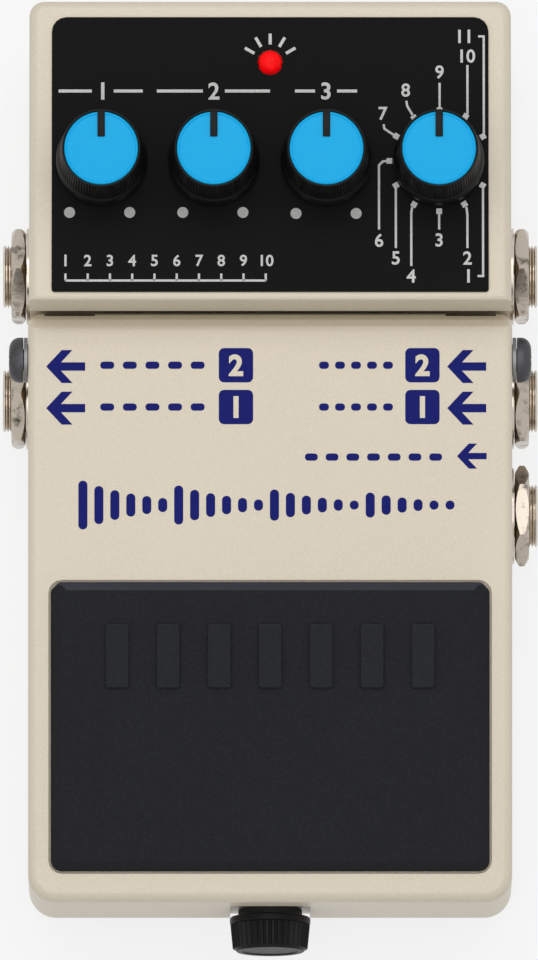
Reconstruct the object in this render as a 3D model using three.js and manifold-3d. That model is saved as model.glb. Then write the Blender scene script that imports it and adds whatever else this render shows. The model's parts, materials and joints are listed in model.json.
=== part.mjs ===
// A compact delay pedal: a die-cast base with a control housing behind and a hinged treadle in front.
// Millimetres: +X to the right, +Y to the back, +Z up, with the origin on the floor under the middle.
import * as THREE from "three";
import { mergeVertices } from "three/addons/utils/BufferGeometryUtils.js";
import Module from "manifold-3d";

const wasm = await Module();
wasm.setup();

// Fits and facets
const seatGap = 0.1;
const runningGap = 0.3;
const cutOverrun = 1;
const weldTolerance = 1e-4;
const quarterSteps = 4;
const roundSides = 20;
const smallSides = 12;
const quarterTurn = Math.PI / 2;

// Base and control housing
const bodyWidth = 66.1;
const rearReach = 64.2;
const rearDraft = 1.1;
const panelHeight = 47.6;
const housingFront = 21.5;
const apronDrop = 7.3;
const apronLean = 0.4;
const topEdgeRadius = 1.3;
const frontEdgeRadius = 0.8;
const rearCornerRadius = 2;
const frontCornerRadius = 3.5;
const baseWall = 2.2;
const footReach = 57.2;
const footTop = 4.7;
const seamBreak = -11.5;
const seamBreakHeight = 24.4;
const deckStart = 8;
const lipFront = 53.8;
const lipFrontHeight = 20;
const lipBreakHeight = 27.1;
const lipRearHeight = 28.2;
const lipCornerRadius = 2.5;
const lipGap = 0.45;

// Rubber mat, bottom plate and its screws
const matThickness = 1.6;
const matInset = 0.7;
const plateThickness = 1.2;
const plateInset = 0.5;
const plateScrewSide = 5.05;
const plateScrewRearEdge = 5.8;
const plateScrewFront = -44;
const plateScrewFrontSide = 3.85;
const plateScrewRadius = 1.5;
const plateScrewDepth = 4.6;
const plateScrewHeadRadius = 2.4;
const plateScrewHeadHeight = 1.3;
const plateScrewPost = 3.5;
const plateScrewPostTop = 20;

// Hinge
const hingeY = 15.27;
const hingeZ = 34;
const slope = THREE.MathUtils.degToRad(9);
const swingRadius = 6.8;
const hingeGap = 0.5;
const troughTopAngle = THREE.MathUtils.degToRad(25);
const lugSide = 2.5;
const lugThickness = 6.05;
const lugRadius = 2.75;
const lugFlare = 2.3;
const hingeScrewRadius = 1.5;
const hingeScrewHeadRadius = 3.1;
const hingeScrewHeadHeight = 2;
const hingeScrewLength = 6;
const bushWall = 0.6;
const bushFlange = 0.5;

// Treadle
const treadleOverhang = 0.2;
const treadleTopRise = 4.67;
const treadleRear = 6.39;
const treadleFront = 58.84;
const treadleSkirtBottom = 10;
const treadleSeamRise = 2.15;
const treadleWall = 2.2;
const treadleRoof = 2.6;
const treadleRearWall = 1.8;
const treadleRearRadius = 2.9;
const treadleEdgeRadius = 1.35;
const treadleRearCorner = 1.8;
const treadleFrontCorner = 3.75;
const rearWallEndAngle = THREE.MathUtils.degToRad(-60);
const lugPocketRise = 3.07;
const lugSlotGap = 0.4;

// Tread pad
const recessSide = 2.8;
const recessRear = -30.19;
const recessLength = 40.36;
const recessDepth = 1;
const recessCorner = 1.8;
const padGap = 0.33;
const padRise = 1.2;
const padBevel = 1.2;
const padTopChamfer = 1.1;
const padBarCount = 7;
const padBarWidth = 3.2;
const padBarPitch = 7;
const padBarRise = 0.5;
const padBarTop = -36.3;
const padBarLength = 8.7;

// Thumbscrew and its guide bush
const thumbscrewHeight = 15;
const thumbscrewBackRadius = 5.55;
const thumbscrewEndRadius = 5.05;
const thumbscrewRibs = 30;
const thumbscrewRibDepth = 0.3;
const thumbscrewStandoff = 0.66;
const thumbscrewChamfer = 0.4;
const thumbscrewShank = 2;
const thumbscrewShankLength = 9;
const thumbscrewNose = 1.8;
const thumbscrewNoseLength = 4.6;
const thumbscrewHoleGap = 0.3;
const frontReach = 64.2;
const pocketWidth = 11;
const pocketDepth = 0.65;
const pocketTop = 22;
const pocketCorner = 1;
const washerRadius = 4.4;
const washerThickness = 1;
const guideWall = 1.6;
const guideSlot = 4.4;
const guideDrop = 4.5;
const guideFlange = 0.8;
const guideFlangeWidth = 0.9;

// Battery tub, battery and its snap
const tubSide = 6.25;
const tubRear = -20.8;
const tubRearWall = 1.8;
const tubFloor = 1.2;
const tubCorner = 1.5;
const batteryEndRoom = 5.1;
const batteryWidth = 26.5;
const batteryHeight = 17.5;
const batteryCorner = 2;
const batteryRearGap = 0.9;
const batterySideGap = 0.5;
const terminalRadius = 2.8;
const terminalLength = 2.6;
const terminalSpacing = 12.7;
const snapThickness = 3.6;
const snapWidth = 24;
const snapHeight = 13;
const snapCorner = 2.5;
const leadRadius = 0.65;
const leadSpacing = 2.6;
const leadHoleRadius = 2.6;
const leadHoleHeight = 15.6;
const leadRise = 3.2;
const leadTail = 5;
const leadSteps = 14;
const leadCurveSegments = 4;

// Jacks
const jackHeight = 16;
const jackRearY = 29.9;
const jackMidY = 12.45;
const jackFrontY = -3.6;
const jackBody = 11.5;
const jackMiddleRoom = 8.75;
const jackBodyCorner = 0.8;
const jackBushRadius = 4.35;
const jackHoleGap = 0.25;
const jackBore = 3.3;
const jackBackWall = 2;
const jackProtrusion = 3.86;
const jackChamfer = 0.4;
const nutAcrossFlats = 12.2;
const nutSides = 6;
const nutThickness = 1.94;
const lockWasherRadius = 6.7;
const lockWasherThickness = 0.55;

// Power socket
const powerBodyWidth = 9;
const powerBodyLength = 13;
const powerCollar = 4;
const powerBore = 3.2;
const powerBoreDepth = 9.5;
const powerPin = 1;
const powerPinSetback = 1;

// Boards
const boardThickness = 1.6;
const boardCorner = 1;
const jackBoardSide = 3.85;
const jackBoardFront = -17.5;
const jackBoardRearGap = 4.7;
const mainBoardSide = 4.55;
const mainBoardFront = 26;
const mainBoardRearGap = 4.8;
const mainBoardDrop = 9.4;
const boardPostRadius = 2.2;
const boardPostRearEdge = 8;
const chipWidth = 14;
const chipHeight = 1.8;
const chipX = -12;
const chipY = 36;
const socketWidth = 14;
const socketDepth = 4.4;
const socketHeight = 4.5;
const ribbonRearEdge = 22.2;
const ribbonWidth = 12;
const ribbonThickness = 0.5;
const ribbonBow = 3;
const ribbonSteps = 8;

// Panel label, indicator light, pots and knobs
const labelSide = 3.1;
const labelFrontEdge = 1;
const labelRearEdge = 3.5;
const labelThickness = 0.2;
const labelTopCorner = 2;
const labelBottomCorner = 0.4;
const ledRadius = 1.57;
const ledRearEdge = 9.8;
const ledRise = 0.9;
const ledHoleGap = 0.2;
const knobRowMargin = 2.25;
const knobCount = 4;
const knobY = 40.6;
const knobHeight = 10.6;
const knobLift = 0.5;
const knobBaseRadius = 6.25;
const knobTopRadius = 5.5;
const knobTeeth = 28;
const knobToothDepth = 0.28;
const knobHollowRadius = 5.2;
const knobHollowDepth = 7.5;
const knobHubRadius = 4;
const shaftRadius = 2.95;
const shaftDepth = 4;
const capRadius = 5.15;
const capThickness = 1;
const capGap = 0.1;
const pointerWidth = 1;
const pointerLength = 3.6;
const potWidth = 9.8;
const potLength = 11;
const potPanelGap = 1.1;
const potBushRadius = 3.9;
const potHoleGap = 0.25;

// Foot switch and spring
const switchX = -18;
const switchY = -8;
const switchBody = 11.5;
const switchTop = 21;
const switchBore = 2.8;
const switchBoreDepth = 6;
const stemRadius = 2.4;
const stemTravel = 1;
const stemTop = 29;
const switchHoleRadius = 4;
const bootRadius = 5.6;
const bootWall = 0.8;
const bootTop = 30.4;
const bootTopRadius = 3;
const pusherRadius = 3.4;
const pusherBottom = 30.7;
const springY = -12.5;
const springRadius = 4.65;
const springWire = 0.6;
const springTurns = 7;
const springEndPitch = 1.75;
const springStepsPerTurn = 12;
const springSides = 5;
const springSeat = 12;
const springTop = 29.6;
const wellBore = 5.9;
const wellWall = 1.5;
const wellFloor = 1.4;
const cupRadius = 5.7;
const cupThickness = 0.9;
const cupPegRadius = 3.2;
const cupPegLength = 2.5;
const cupStemRadius = 3.6;
const cupStemTop = 30.9;

// Levels and places worked out from the sizes above
const floorTop = matThickness + plateThickness;
const halfBody = bodyWidth / 2;
const plateScrewX = halfBody - plateScrewSide;
const plateScrewRear = rearReach - plateScrewRearEdge;
const plateScrewFrontX = halfBody - plateScrewFrontSide;
const lugOuter = halfBody - lugSide;
const lugInner = lugOuter - lugThickness;
const treadleWidth = bodyWidth + 2 * treadleOverhang;
const halfTreadle = treadleWidth / 2;
const recessWidth = treadleWidth - 2 * recessSide;
const thumbscrewLength = frontReach - treadleFront - thumbscrewStandoff;
const tubWidth = bodyWidth - 2 * tubSide;
const batteryLength = tubWidth - batteryEndRoom;
const jackBodyLength = halfBody - baseWall - seatGap - jackMiddleRoom;
const jackBoreDepth = jackBodyLength - jackBackWall;
const jackBoardWidth = bodyWidth - 2 * jackBoardSide;
const jackBoardRear = rearReach - jackBoardRearGap;
const mainBoardWidth = bodyWidth - 2 * mainBoardSide;
const mainBoardRear = rearReach - mainBoardRearGap;
const boardPostY = rearReach - boardPostRearEdge;
const ribbonY = rearReach - ribbonRearEdge;
const labelWidth = bodyWidth - 2 * labelSide;
const labelFront = housingFront + labelFrontEdge;
const labelRear = rearReach - labelRearEdge;
const ledY = rearReach - ledRearEdge;
const knobSpacing = (bodyWidth - 2 * knobRowMargin) / knobCount;
const troughRadius = swingRadius + hingeGap;
const deckHeight = hingeZ - troughRadius;
const lipHalf = halfTreadle - treadleWall - lipGap;
const deckRearFall = (lipRearHeight - lipBreakHeight) / (deckStart - seamBreak);
const deckFrontFall = (lipBreakHeight - lipFrontHeight) / (lipFront + seamBreak);
const jackBoardHeight = jackHeight - jackBody / 2 - runningGap - boardThickness;
const panelUnderside = panelHeight - baseWall;
const mainBoardHeight = panelUnderside - mainBoardDrop;
const potHeight = mainBoardDrop - boardThickness - seatGap - potPanelGap;
const boardPostFoot = mainBoardHeight + boardThickness + runningGap;
const labelTop = panelHeight + seatGap + labelThickness;
const batteryLeft = batterySideGap - tubWidth / 2;
const batteryRight = batteryLeft + batteryLength - terminalLength;
const batteryMiddle = tubRear - batteryRearGap - batteryWidth / 2;
const batteryCentre = floorTop + tubFloor + seatGap + batteryHeight / 2;
const leadX = batteryRight + seatGap + snapThickness / 2;

// The height of the sloping deck at a place along the pedal
function deckAt(y) {
  const fall = y > seamBreak ? deckRearFall : deckFrontFall;
  return lipBreakHeight + (y - seamBreak) * fall;
}

// Outline points for one corner [a, b, radius], rounded by an arc that meets both of its sides
function cornerPoints(before, [a, b, radius = 0], after) {
  const here = new THREE.Vector2(a, b);
  if (!radius) return [here];
  const back = new THREE.Vector2(before[0], before[1]).sub(here).normalize();
  const on = new THREE.Vector2(after[0], after[1]).sub(here).normalize();
  const half = Math.acos(THREE.MathUtils.clamp(back.dot(on), -1, 1)) / 2;
  const middle = here.clone().addScaledVector(back.clone().add(on).normalize(), radius / Math.sin(half));
  const start = here.clone().addScaledVector(back, radius / Math.tan(half)).sub(middle);
  const turn = (Math.PI - 2 * half) * Math.sign(on.cross(back));
  const steps = Math.max(1, Math.round((Math.abs(turn) / quarterTurn) * quarterSteps));
  const origin = new THREE.Vector2();
  return Array.from({ length: steps + 1 }, (_, i) =>
    start.clone().rotateAround(origin, (turn * i) / steps).add(middle),
  );
}

// The points of a closed outline from its corners, and the outline itself
function outlinePoints(corners) {
  const last = corners.length - 1;
  return corners.flatMap((corner, i) =>
    cornerPoints(corners[i ? i - 1 : last], corner, corners[i === last ? 0 : i + 1]),
  );
}

function outline(corners) {
  return new THREE.Shape(outlinePoints(corners));
}

// A rectangle centred on the origin with rounded corners
function rectangle(width, length, radius) {
  return outline([
    [-width / 2, -length / 2, radius],
    [width / 2, -length / 2, radius],
    [width / 2, length / 2, radius],
    [-width / 2, length / 2, radius],
  ]);
}

// Corners along an arc about a centre, without radii
function arcCorners(y, z, radius, from, to) {
  const steps = Math.ceil((Math.abs(to - from) / quarterTurn) * quarterSteps * 2);
  return Array.from({ length: steps + 1 }, (_, i) => {
    const angle = from + ((to - from) * i) / steps;
    return [y + radius * Math.cos(angle), z + radius * Math.sin(angle)];
  });
}

// Extrusions: up from a plan outline, across from a side outline (y, z), and back from a front outline (x, z)
function raised(shape, bottom, top) {
  const geometry = new THREE.ExtrudeGeometry(shape, { depth: top - bottom, bevelEnabled: false, steps: 1 });
  return geometry.translate(0, 0, bottom);
}

function across(shape, left, right) {
  const geometry = new THREE.ExtrudeGeometry(shape, { depth: right - left, bevelEnabled: false, steps: 1 });
  const turn = new THREE.Matrix4().makeBasis(
    new THREE.Vector3(0, 1, 0),
    new THREE.Vector3(0, 0, 1),
    new THREE.Vector3(1, 0, 0),
  );
  return geometry.applyMatrix4(turn).translate(left, 0, 0);
}

function along(shape, front, rear) {
  const geometry = new THREE.ExtrudeGeometry(shape, { depth: rear - front, bevelEnabled: false, steps: 1 });
  return geometry.rotateX(quarterTurn).translate(0, rear, 0);
}

// A block whose upper edge is rounded all the way round; its plan corners are given for each inset
function roundedBlock(planCorners, bottom, top, radius) {
  const levels = Array.from({ length: quarterSteps + 1 }, (_, i) => {
    const angle = (quarterTurn * i) / quarterSteps;
    return [radius * (1 - Math.cos(angle)), top - radius * (1 - Math.sin(angle))];
  });
  const rings = [[0, bottom], ...levels].map(([inset, z]) =>
    outlinePoints(planCorners(inset)).map(({ x, y }) => [x, y, z]),
  );
  const count = rings[0].length;
  const last = (rings.length - 1) * count;
  const index = [];
  for (let start = 0; start < last; start += count) {
    for (let i = 0; i < count; i += 1) {
      const here = start + i;
      const next = start + ((i + 1) % count);
      index.push(here, next, next + count, here, next + count, here + count);
    }
  }
  for (let i = 1; i < count - 1; i += 1) {
    index.push(0, i + 1, i, last, last + i, last + i + 1);
  }
  const geometry = new THREE.BufferGeometry();
  geometry.setAttribute("position", new THREE.Float32BufferAttribute(rings.flat(2), 3));
  geometry.setIndex(index);
  return geometry;
}

// A cylinder standing on a level, and a turned piece about Z from a profile of [radius, height]
function cylinder(radius, bottom, top, sides = roundSides) {
  const geometry = new THREE.CylinderGeometry(radius, radius, top - bottom, sides);
  return geometry.rotateX(quarterTurn).translate(0, 0, (top + bottom) / 2);
}

function turned(profile, sides = roundSides) {
  const points = profile.map(([radius, height]) => new THREE.Vector2(radius, height));
  return new THREE.LatheGeometry(points, sides).rotateX(quarterTurn);
}

function ring(outer, inner, bottom, top, sides = roundSides) {
  return turned([[inner, bottom], [outer, bottom], [outer, top], [inner, top], [inner, bottom]], sides);
}

function box(x0, x1, y0, y1, z0, z1) {
  const geometry = new THREE.BoxGeometry(x1 - x0, y1 - y0, z1 - z0);
  return geometry.translate((x0 + x1) / 2, (y0 + y1) / 2, (z0 + z1) / 2);
}

// Booleans on closed geometries
function solid(geometry) {
  if (!geometry.isBufferGeometry) return geometry;
  const bare = geometry.clone();
  bare.deleteAttribute("normal");
  bare.deleteAttribute("uv");
  const welded = mergeVertices(bare, weldTolerance);
  const vertProperties = welded.attributes.position.array;
  const triVerts = new Uint32Array(welded.index.array);
  return new wasm.Manifold(new wasm.Mesh({ numProp: 3, vertProperties, triVerts }));
}

function join(...geometries) {
  return geometries.map(solid).reduce((all, next) => all.add(next));
}

function cut(body, ...tools) {
  return tools.map(solid).reduce((left, tool) => left.subtract(tool), solid(body));
}

function common(...geometries) {
  return geometries.map(solid).reduce((all, next) => all.intersect(next));
}

function geometryOf(shape) {
  if (shape.isBufferGeometry) return shape;
  const mesh = shape.getMesh();
  const positions = new Float32Array(mesh.numVert * 3);
  for (let i = 0; i < mesh.numVert; i += 1) {
    positions.set(mesh.vertProperties.subarray(i * mesh.numProp, i * mesh.numProp + 3), i * 3);
  }
  const geometry = new THREE.BufferGeometry();
  geometry.setAttribute("position", new THREE.BufferAttribute(positions, 3));
  geometry.setIndex(new THREE.BufferAttribute(new Uint32Array(mesh.triVerts), 1));
  const flat = geometry.toNonIndexed();
  flat.computeVertexNormals();
  return flat;
}

// Materials
const finish = (color, roughness, metalness) => ({ color, roughness, metalness });
const pearlPaint = finish(0xd0c6b4, 0.38, 0.35);
const blackPlastic = finish(0x161617, 0.5, 0);
const blackRubber = finish(0x25262a, 0.85, 0);
const blackLabel = finish(0x1a1a1a, 0.45, 0);
const blueCap = finish(0x20b0e8, 0.45, 0);
const redLens = finish(0xfa0a0a, 0.15, 0);
const nickel = finish(0xaa9b8c, 0.25, 1);
const zincSteel = finish(0x9a9a98, 0.4, 1);
const blackSteel = finish(0x1c1c1e, 0.35, 0.8);
const boardGreen = finish(0x14502c, 0.5, 0);
const whiteNylon = finish(0xe4e2da, 0.6, 0);
const batterySleeve = finish(0x30343c, 0.4, 0.3);
const redWire = finish(0xb01818, 0.5, 0);
const ribbonGrey = finish(0xb0b0ac, 0.6, 0);

const pedal = new THREE.Group();

function addPiece(parent, name, shape, look) {
  const mesh = new THREE.Mesh(geometryOf(shape), new THREE.MeshStandardMaterial(look));
  mesh.name = name;
  parent.add(mesh);
  return mesh;
}

// Plan corners of the base, drawn in from its edge by an inset
function basePlan(inset) {
  const half = halfBody - inset;
  return [
    [-half, inset - footReach, frontCornerRadius - inset],
    [half, inset - footReach, frontCornerRadius - inset],
    [half, rearReach - inset, rearCornerRadius - inset],
    [-half, rearReach - inset, rearCornerRadius - inset],
  ];
}

// Side outline of the housing and the seam, offset inwards by a wall and up to a rear line; the front end is
// given by its corners
function housingSide(wall, bottom, rearLine, frontCorners) {
  const front = housingFront + wall;
  const radius = troughRadius + wall;
  const roundFront = wall ? 0 : frontEdgeRadius;
  return outline([
    [rearLine[0], bottom],
    [rearLine[1], panelHeight - wall],
    [front, panelHeight - wall, roundFront],
    [front - apronLean, panelHeight - apronDrop],
    ...arcCorners(hingeY, hingeZ, radius, troughTopAngle, -quarterTurn),
    ...frontCorners,
  ]);
}

// The places of the four screws of the bottom plate
const plateScrews = [
  ["rear_left", -plateScrewX, plateScrewRear],
  ["rear_right", plateScrewX, plateScrewRear],
  ["front_left", -plateScrewFrontX, plateScrewFront],
  ["front_right", plateScrewFrontX, plateScrewFront],
];

const jacks = [
  { name: "output_b", side: -1, y: jackRearY, flatUp: false },
  { name: "output_a", side: -1, y: jackMidY, flatUp: false },
  { name: "input_b", side: 1, y: jackRearY, flatUp: false },
  { name: "input_a", side: 1, y: jackMidY, flatUp: false },
  { name: "expression", side: 1, y: jackFrontY, flatUp: true },
];

const knobs = [
  { name: "level", place: -1.5 },
  { name: "feedback", place: -0.5 },
  { name: "time", place: 0.5 },
  { name: "mode", place: 1.5 },
].map(({ name, place }) => ({ name, x: place * knobSpacing }));

function castingShell() {
  const seamLine = [
    [deckStart, deckHeight],
    [seamBreak, seamBreakHeight],
    [-footReach, footTop],
    [-footReach, floorTop],
  ];
  const block = roundedBlock(basePlan, floorTop, panelHeight, topEdgeRadius);
  leanRear(block);
  const rearLine = [rearReach + cutOverrun, rearReach + cutOverrun];
  const beyond = halfBody + cutOverrun;
  const outside = common(across(housingSide(0, floorTop, rearLine, seamLine), -beyond, beyond), block);
  const lipSide = outline([
    [hingeY, floorTop],
    [hingeY, deckHeight],
    [deckStart, deckHeight],
    [deckStart, lipRearHeight],
    [seamBreak, lipBreakHeight],
    [-lipFront, lipFrontHeight],
    [-lipFront, floorTop],
  ]);
  const lipPlan = outline([
    [-lipHalf, -lipFront, lipCornerRadius],
    [lipHalf, -lipFront, lipCornerRadius],
    [lipHalf, hingeY],
    [-lipHalf, hingeY],
  ]);
  const lip = common(across(lipSide, -lipHalf, lipHalf), raised(lipPlan, floorTop, hingeZ));
  return join(outside, lip);
}

// Draws the rear wall in towards its top
function leanRear(geometry) {
  const positions = geometry.attributes.position;
  for (let i = 0; i < positions.count; i += 1) {
    if (positions.getY(i) > 0) {
      const share = (positions.getZ(i) - floorTop) / (panelHeight - floorTop);
      positions.setY(i, positions.getY(i) - rearDraft * share);
    }
  }
}

function castingHollow() {
  const bottom = floorTop - cutOverrun;
  const tubBack = tubRear + tubRearWall;
  const deckUnderside = deckHeight - baseWall;
  const seamFall = (seamBreakHeight - footTop) / (footReach + seamBreak);
  const wideEnd = seamBreakHeight - baseWall - (seamBreak - tubBack) * seamFall;
  const wide = across(
    housingSide(baseWall, bottom, [rearReach - baseWall, rearReach - rearDraft - baseWall], [
      [deckStart, deckUnderside],
      [seamBreak, seamBreakHeight - baseWall],
      [tubBack, wideEnd],
      [tubBack, bottom],
    ]),
    baseWall - halfBody,
    halfBody - baseWall,
  );
  const narrow = across(
    outline([
      [hingeY, bottom],
      [hingeY, deckUnderside],
      [deckStart, deckUnderside],
      [seamBreak, lipBreakHeight - baseWall],
      [tubBack, deckAt(tubBack) - baseWall],
      [tubBack, bottom],
    ]),
    baseWall - lipHalf,
    lipHalf - baseWall,
  );
  const tubFront = baseWall - lipFront;
  const tubPlan = rectangle(tubWidth, tubRear - tubFront, tubCorner);
  const tub = raised(tubPlan, floorTop + tubFloor, hingeZ).translate(0, (tubRear + tubFront) / 2, 0);
  return join(join(wide, narrow), tub);
}

// The hinge lugs stand on the deck inside the treadle's ears
function hingeLug(side) {
  const half = lugRadius;
  const corners = [
    [hingeY + half, deckHeight - baseWall / 2],
    ...arcCorners(hingeY, hingeZ, half, 0, Math.PI),
    [hingeY - half - lugFlare, deckHeight - baseWall / 2],
  ];
  const lug = across(outline(corners), lugInner, lugOuter);
  const hole = cylinder(hingeScrewRadius + seatGap, lugInner - cutOverrun, lugOuter + cutOverrun, smallSides);
  hole.rotateY(quarterTurn).translate(0, hingeY, hingeZ);
  const finished = cut(lug, hole);
  return side > 0 ? finished : finished.mirror([1, 0, 0]);
}

function baseCasting() {
  const springWell = cylinder(wellBore + wellWall, springSeat - wellFloor, deckAt(springY) - baseWall / 2);
  springWell.translate(0, springY, 0);
  const springBore = cylinder(wellBore, springSeat, hingeZ).translate(0, springY, 0);
  const switchHole = cylinder(switchHoleRadius, switchTop, hingeZ).translate(switchX, switchY, 0);
  const posts = [-plateScrewX, plateScrewX].map((x) =>
    cylinder(plateScrewPost, floorTop, plateScrewPostTop, smallSides).translate(x, plateScrewRear, 0),
  );
  const boardPosts = [-knobSpacing, knobSpacing].map((x) =>
    cylinder(boardPostRadius, boardPostFoot, panelHeight - baseWall / 2, smallSides)
      .translate(x, boardPostY, 0),
  );
  const screwHoles = plateScrews.map(([, x, y]) =>
    cylinder(plateScrewRadius + seatGap, floorTop - cutOverrun, floorTop + plateScrewDepth, smallSides)
      .translate(x, y, 0),
  );
  const jackHoles = jacks.map(({ side, y }) =>
    cylinder(jackBushRadius + jackHoleGap, halfBody - baseWall - cutOverrun, halfBody + cutOverrun)
      .rotateY(side * quarterTurn)
      .translate(0, y, jackHeight),
  );
  const powerHole = cylinder(powerCollar + jackHoleGap, 0, baseWall + 2 * cutOverrun)
    .rotateX(quarterTurn)
    .translate(0, rearReach + cutOverrun, jackHeight);
  const panelFloor = panelUnderside - cutOverrun;
  const ledHole = cylinder(ledRadius + ledHoleGap, panelFloor, panelHeight + cutOverrun, smallSides)
    .translate(0, ledY, 0);
  const potHoles = knobs.map(({ x }) =>
    cylinder(potBushRadius + potHoleGap, panelFloor, panelHeight + cutOverrun).translate(x, knobY, 0),
  );
  const notchHalf = guideSlot / 2 + guideWall + seatGap;
  const notchBottom = thumbscrewHeight - thumbscrewNose - guideDrop - guideWall - seatGap;
  const notchFront = -Math.max(lipFront, footReach) - cutOverrun;
  const notch = box(-notchHalf, notchHalf, notchFront, baseWall - lipFront + cutOverrun, notchBottom, hingeZ);
  const flangeHalf = notchHalf + guideFlangeWidth;
  const flangeBottom = notchBottom + seatGap - guideFlangeWidth;
  const flangeNotch = box(-flangeHalf, flangeHalf, notchFront, -lipFront, flangeBottom, hingeZ);
  const leadHole = cylinder(leadHoleRadius, 0, tubRearWall + 2 * cutOverrun, smallSides)
    .rotateX(-quarterTurn)
    .translate(leadX, tubRear - cutOverrun, leadHoleHeight);
  const hollowed = join(cut(castingShell(), castingHollow()), springWell, ...posts, ...boardPosts);
  const drilled = cut(hollowed, springBore, switchHole, ...screwHoles, ...jackHoles, powerHole, ledHole,
    ...potHoles, notch, flangeNotch, leadHole);
  return join(drilled, hingeLug(1), hingeLug(-1));
}

function bottomPlate() {
  const holes = plateScrews.map(([, x, y]) =>
    cylinder(plateScrewRadius + jackHoleGap, 0, floorTop + cutOverrun, smallSides).translate(x, y, 0),
  );
  return cut(raised(outline(basePlan(plateInset)), matThickness, floorTop), ...holes);
}

function rubberMat() {
  const holes = plateScrews.map(([, x, y]) =>
    cylinder(plateScrewHeadRadius + runningGap, -cutOverrun, matThickness + cutOverrun, smallSides)
      .translate(x, y, 0),
  );
  return cut(raised(outline(basePlan(matInset)), 0, matThickness), ...holes);
}

function plateScrew() {
  const top = matThickness;
  const head = plateScrewHeadRadius;
  return turned([
    [0, top - plateScrewHeadHeight],
    [head, top - plateScrewHeadHeight],
    [head, top],
    [plateScrewRadius, top],
    [plateScrewRadius, floorTop + plateScrewDepth - runningGap],
    [0, floorTop + plateScrewDepth - runningGap],
  ], smallSides);
}

function panelLabel() {
  const half = labelWidth / 2;
  const plan = outline([
    [-half, labelFront, labelBottomCorner],
    [half, labelFront, labelBottomCorner],
    [half, labelRear, labelTopCorner],
    [-half, labelRear, labelTopCorner],
  ]);
  const bottom = panelHeight - cutOverrun;
  const top = panelHeight + cutOverrun;
  const holes = knobs.map(({ x }) =>
    cylinder(potBushRadius + potHoleGap, bottom, top).translate(x, knobY, 0),
  );
  const ledHole = cylinder(ledRadius + ledHoleGap, bottom, top, smallSides).translate(0, ledY, 0);
  return cut(raised(plan, panelHeight + seatGap, labelTop), ...holes, ledHole);
}

function ledLens() {
  const bottom = mainBoardHeight + boardThickness + seatGap;
  const dome = Array.from({ length: quarterSteps + 1 }, (_, i) => {
    const angle = (quarterTurn * i) / quarterSteps;
    return [ledRadius * Math.cos(angle), labelTop + ledRise * Math.sin(angle)];
  });
  dome[quarterSteps][0] = 0;
  return turned([[0, bottom], [ledRadius, bottom], ...dome], smallSides);
}

function mainBoard() {
  const length = mainBoardRear - mainBoardFront;
  const board = raised(rectangle(mainBoardWidth, length, boardCorner), mainBoardHeight,
    mainBoardHeight + boardThickness).translate(0, (mainBoardRear + mainBoardFront) / 2, 0);
  const half = chipWidth / 2;
  const overlap = boardThickness / 2;
  const chip = box(chipX - half, chipX + half, chipY - half, chipY + half,
    mainBoardHeight - chipHeight, mainBoardHeight + overlap);
  const secondChip = box(-chipX - half / 2, -chipX + half / 2, chipY - half, chipY + half,
    mainBoardHeight - chipHeight, mainBoardHeight + overlap);
  const socket = box(-socketWidth / 2, socketWidth / 2, ribbonY - socketDepth / 2, ribbonY + socketDepth / 2,
    mainBoardHeight - socketHeight, mainBoardHeight + overlap);
  return join(board, chip, secondChip, socket);
}

function jackBoard() {
  const length = jackBoardRear - jackBoardFront;
  const plan = rectangle(jackBoardWidth, length, boardCorner);
  const top = jackBoardHeight + boardThickness;
  const board = raised(plan, jackBoardHeight, top).translate(0, (jackBoardRear + jackBoardFront) / 2, 0);
  const posts = [-plateScrewX, plateScrewX].map((x) =>
    cylinder(plateScrewPost + runningGap, 0, panelHeight, smallSides).translate(x, plateScrewRear, 0),
  );
  const socket = box(-socketWidth / 2, socketWidth / 2, ribbonY - socketDepth / 2, ribbonY + socketDepth / 2,
    jackBoardHeight + boardThickness / 2, top + socketHeight);
  return join(cut(board, ...posts), socket);
}

// The flat cable between the boards, bowed to the rear
function boardRibbon() {
  const bottom = jackBoardHeight + boardThickness + socketHeight + seatGap;
  const top = mainBoardHeight - socketHeight - seatGap;
  const side = (offset) =>
    Array.from({ length: ribbonSteps + 1 }, (_, i) => {
      const share = i / ribbonSteps;
      const bow = (ribbonBow * (1 - Math.cos(2 * Math.PI * share))) / 2;
      return [ribbonY + bow + offset, bottom + (top - bottom) * share];
    });
  const corners = [...side(ribbonThickness / 2), ...side(-ribbonThickness / 2).reverse()];
  return across(outline(corners), -ribbonWidth / 2, ribbonWidth / 2);
}

// A potentiometer standing on the main board, its bush in the panel hole
function potentiometer() {
  const bottom = mainBoardHeight + boardThickness + seatGap;
  const top = bottom + potHeight;
  const body = raised(rectangle(potWidth, potLength, boardCorner), bottom, top);
  const bush = cylinder(potBushRadius, top - boardThickness, labelTop, smallSides);
  const boreBottom = labelTop - shaftDepth - runningGap;
  const bore = cylinder(shaftRadius + runningGap, boreBottom, labelTop + cutOverrun, smallSides);
  return cut(join(body, bush), bore);
}

// A round outline with pointed teeth
function toothedOutline(radius, depth, teeth) {
  const points = Array.from({ length: 2 * teeth }, (_, i) => {
    const angle = (Math.PI * i) / teeth;
    const reach = i % 2 ? radius - depth : radius;
    return new THREE.Vector2(reach * Math.cos(angle), reach * Math.sin(angle));
  });
  return new THREE.Shape(points);
}

// A toothed cone standing on the origin, its top ring drawn in
function toothedCone(baseRadius, topRadius, depth, teeth, height) {
  const geometry = raised(toothedOutline(baseRadius, depth, teeth), 0, height);
  const positions = geometry.attributes.position;
  const share = topRadius / baseRadius;
  for (let i = 0; i < positions.count; i += 1) {
    if (positions.getZ(i) > height / 2) {
      positions.setX(i, positions.getX(i) * share);
      positions.setY(i, positions.getY(i) * share);
    }
  }
  return geometry;
}

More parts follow.
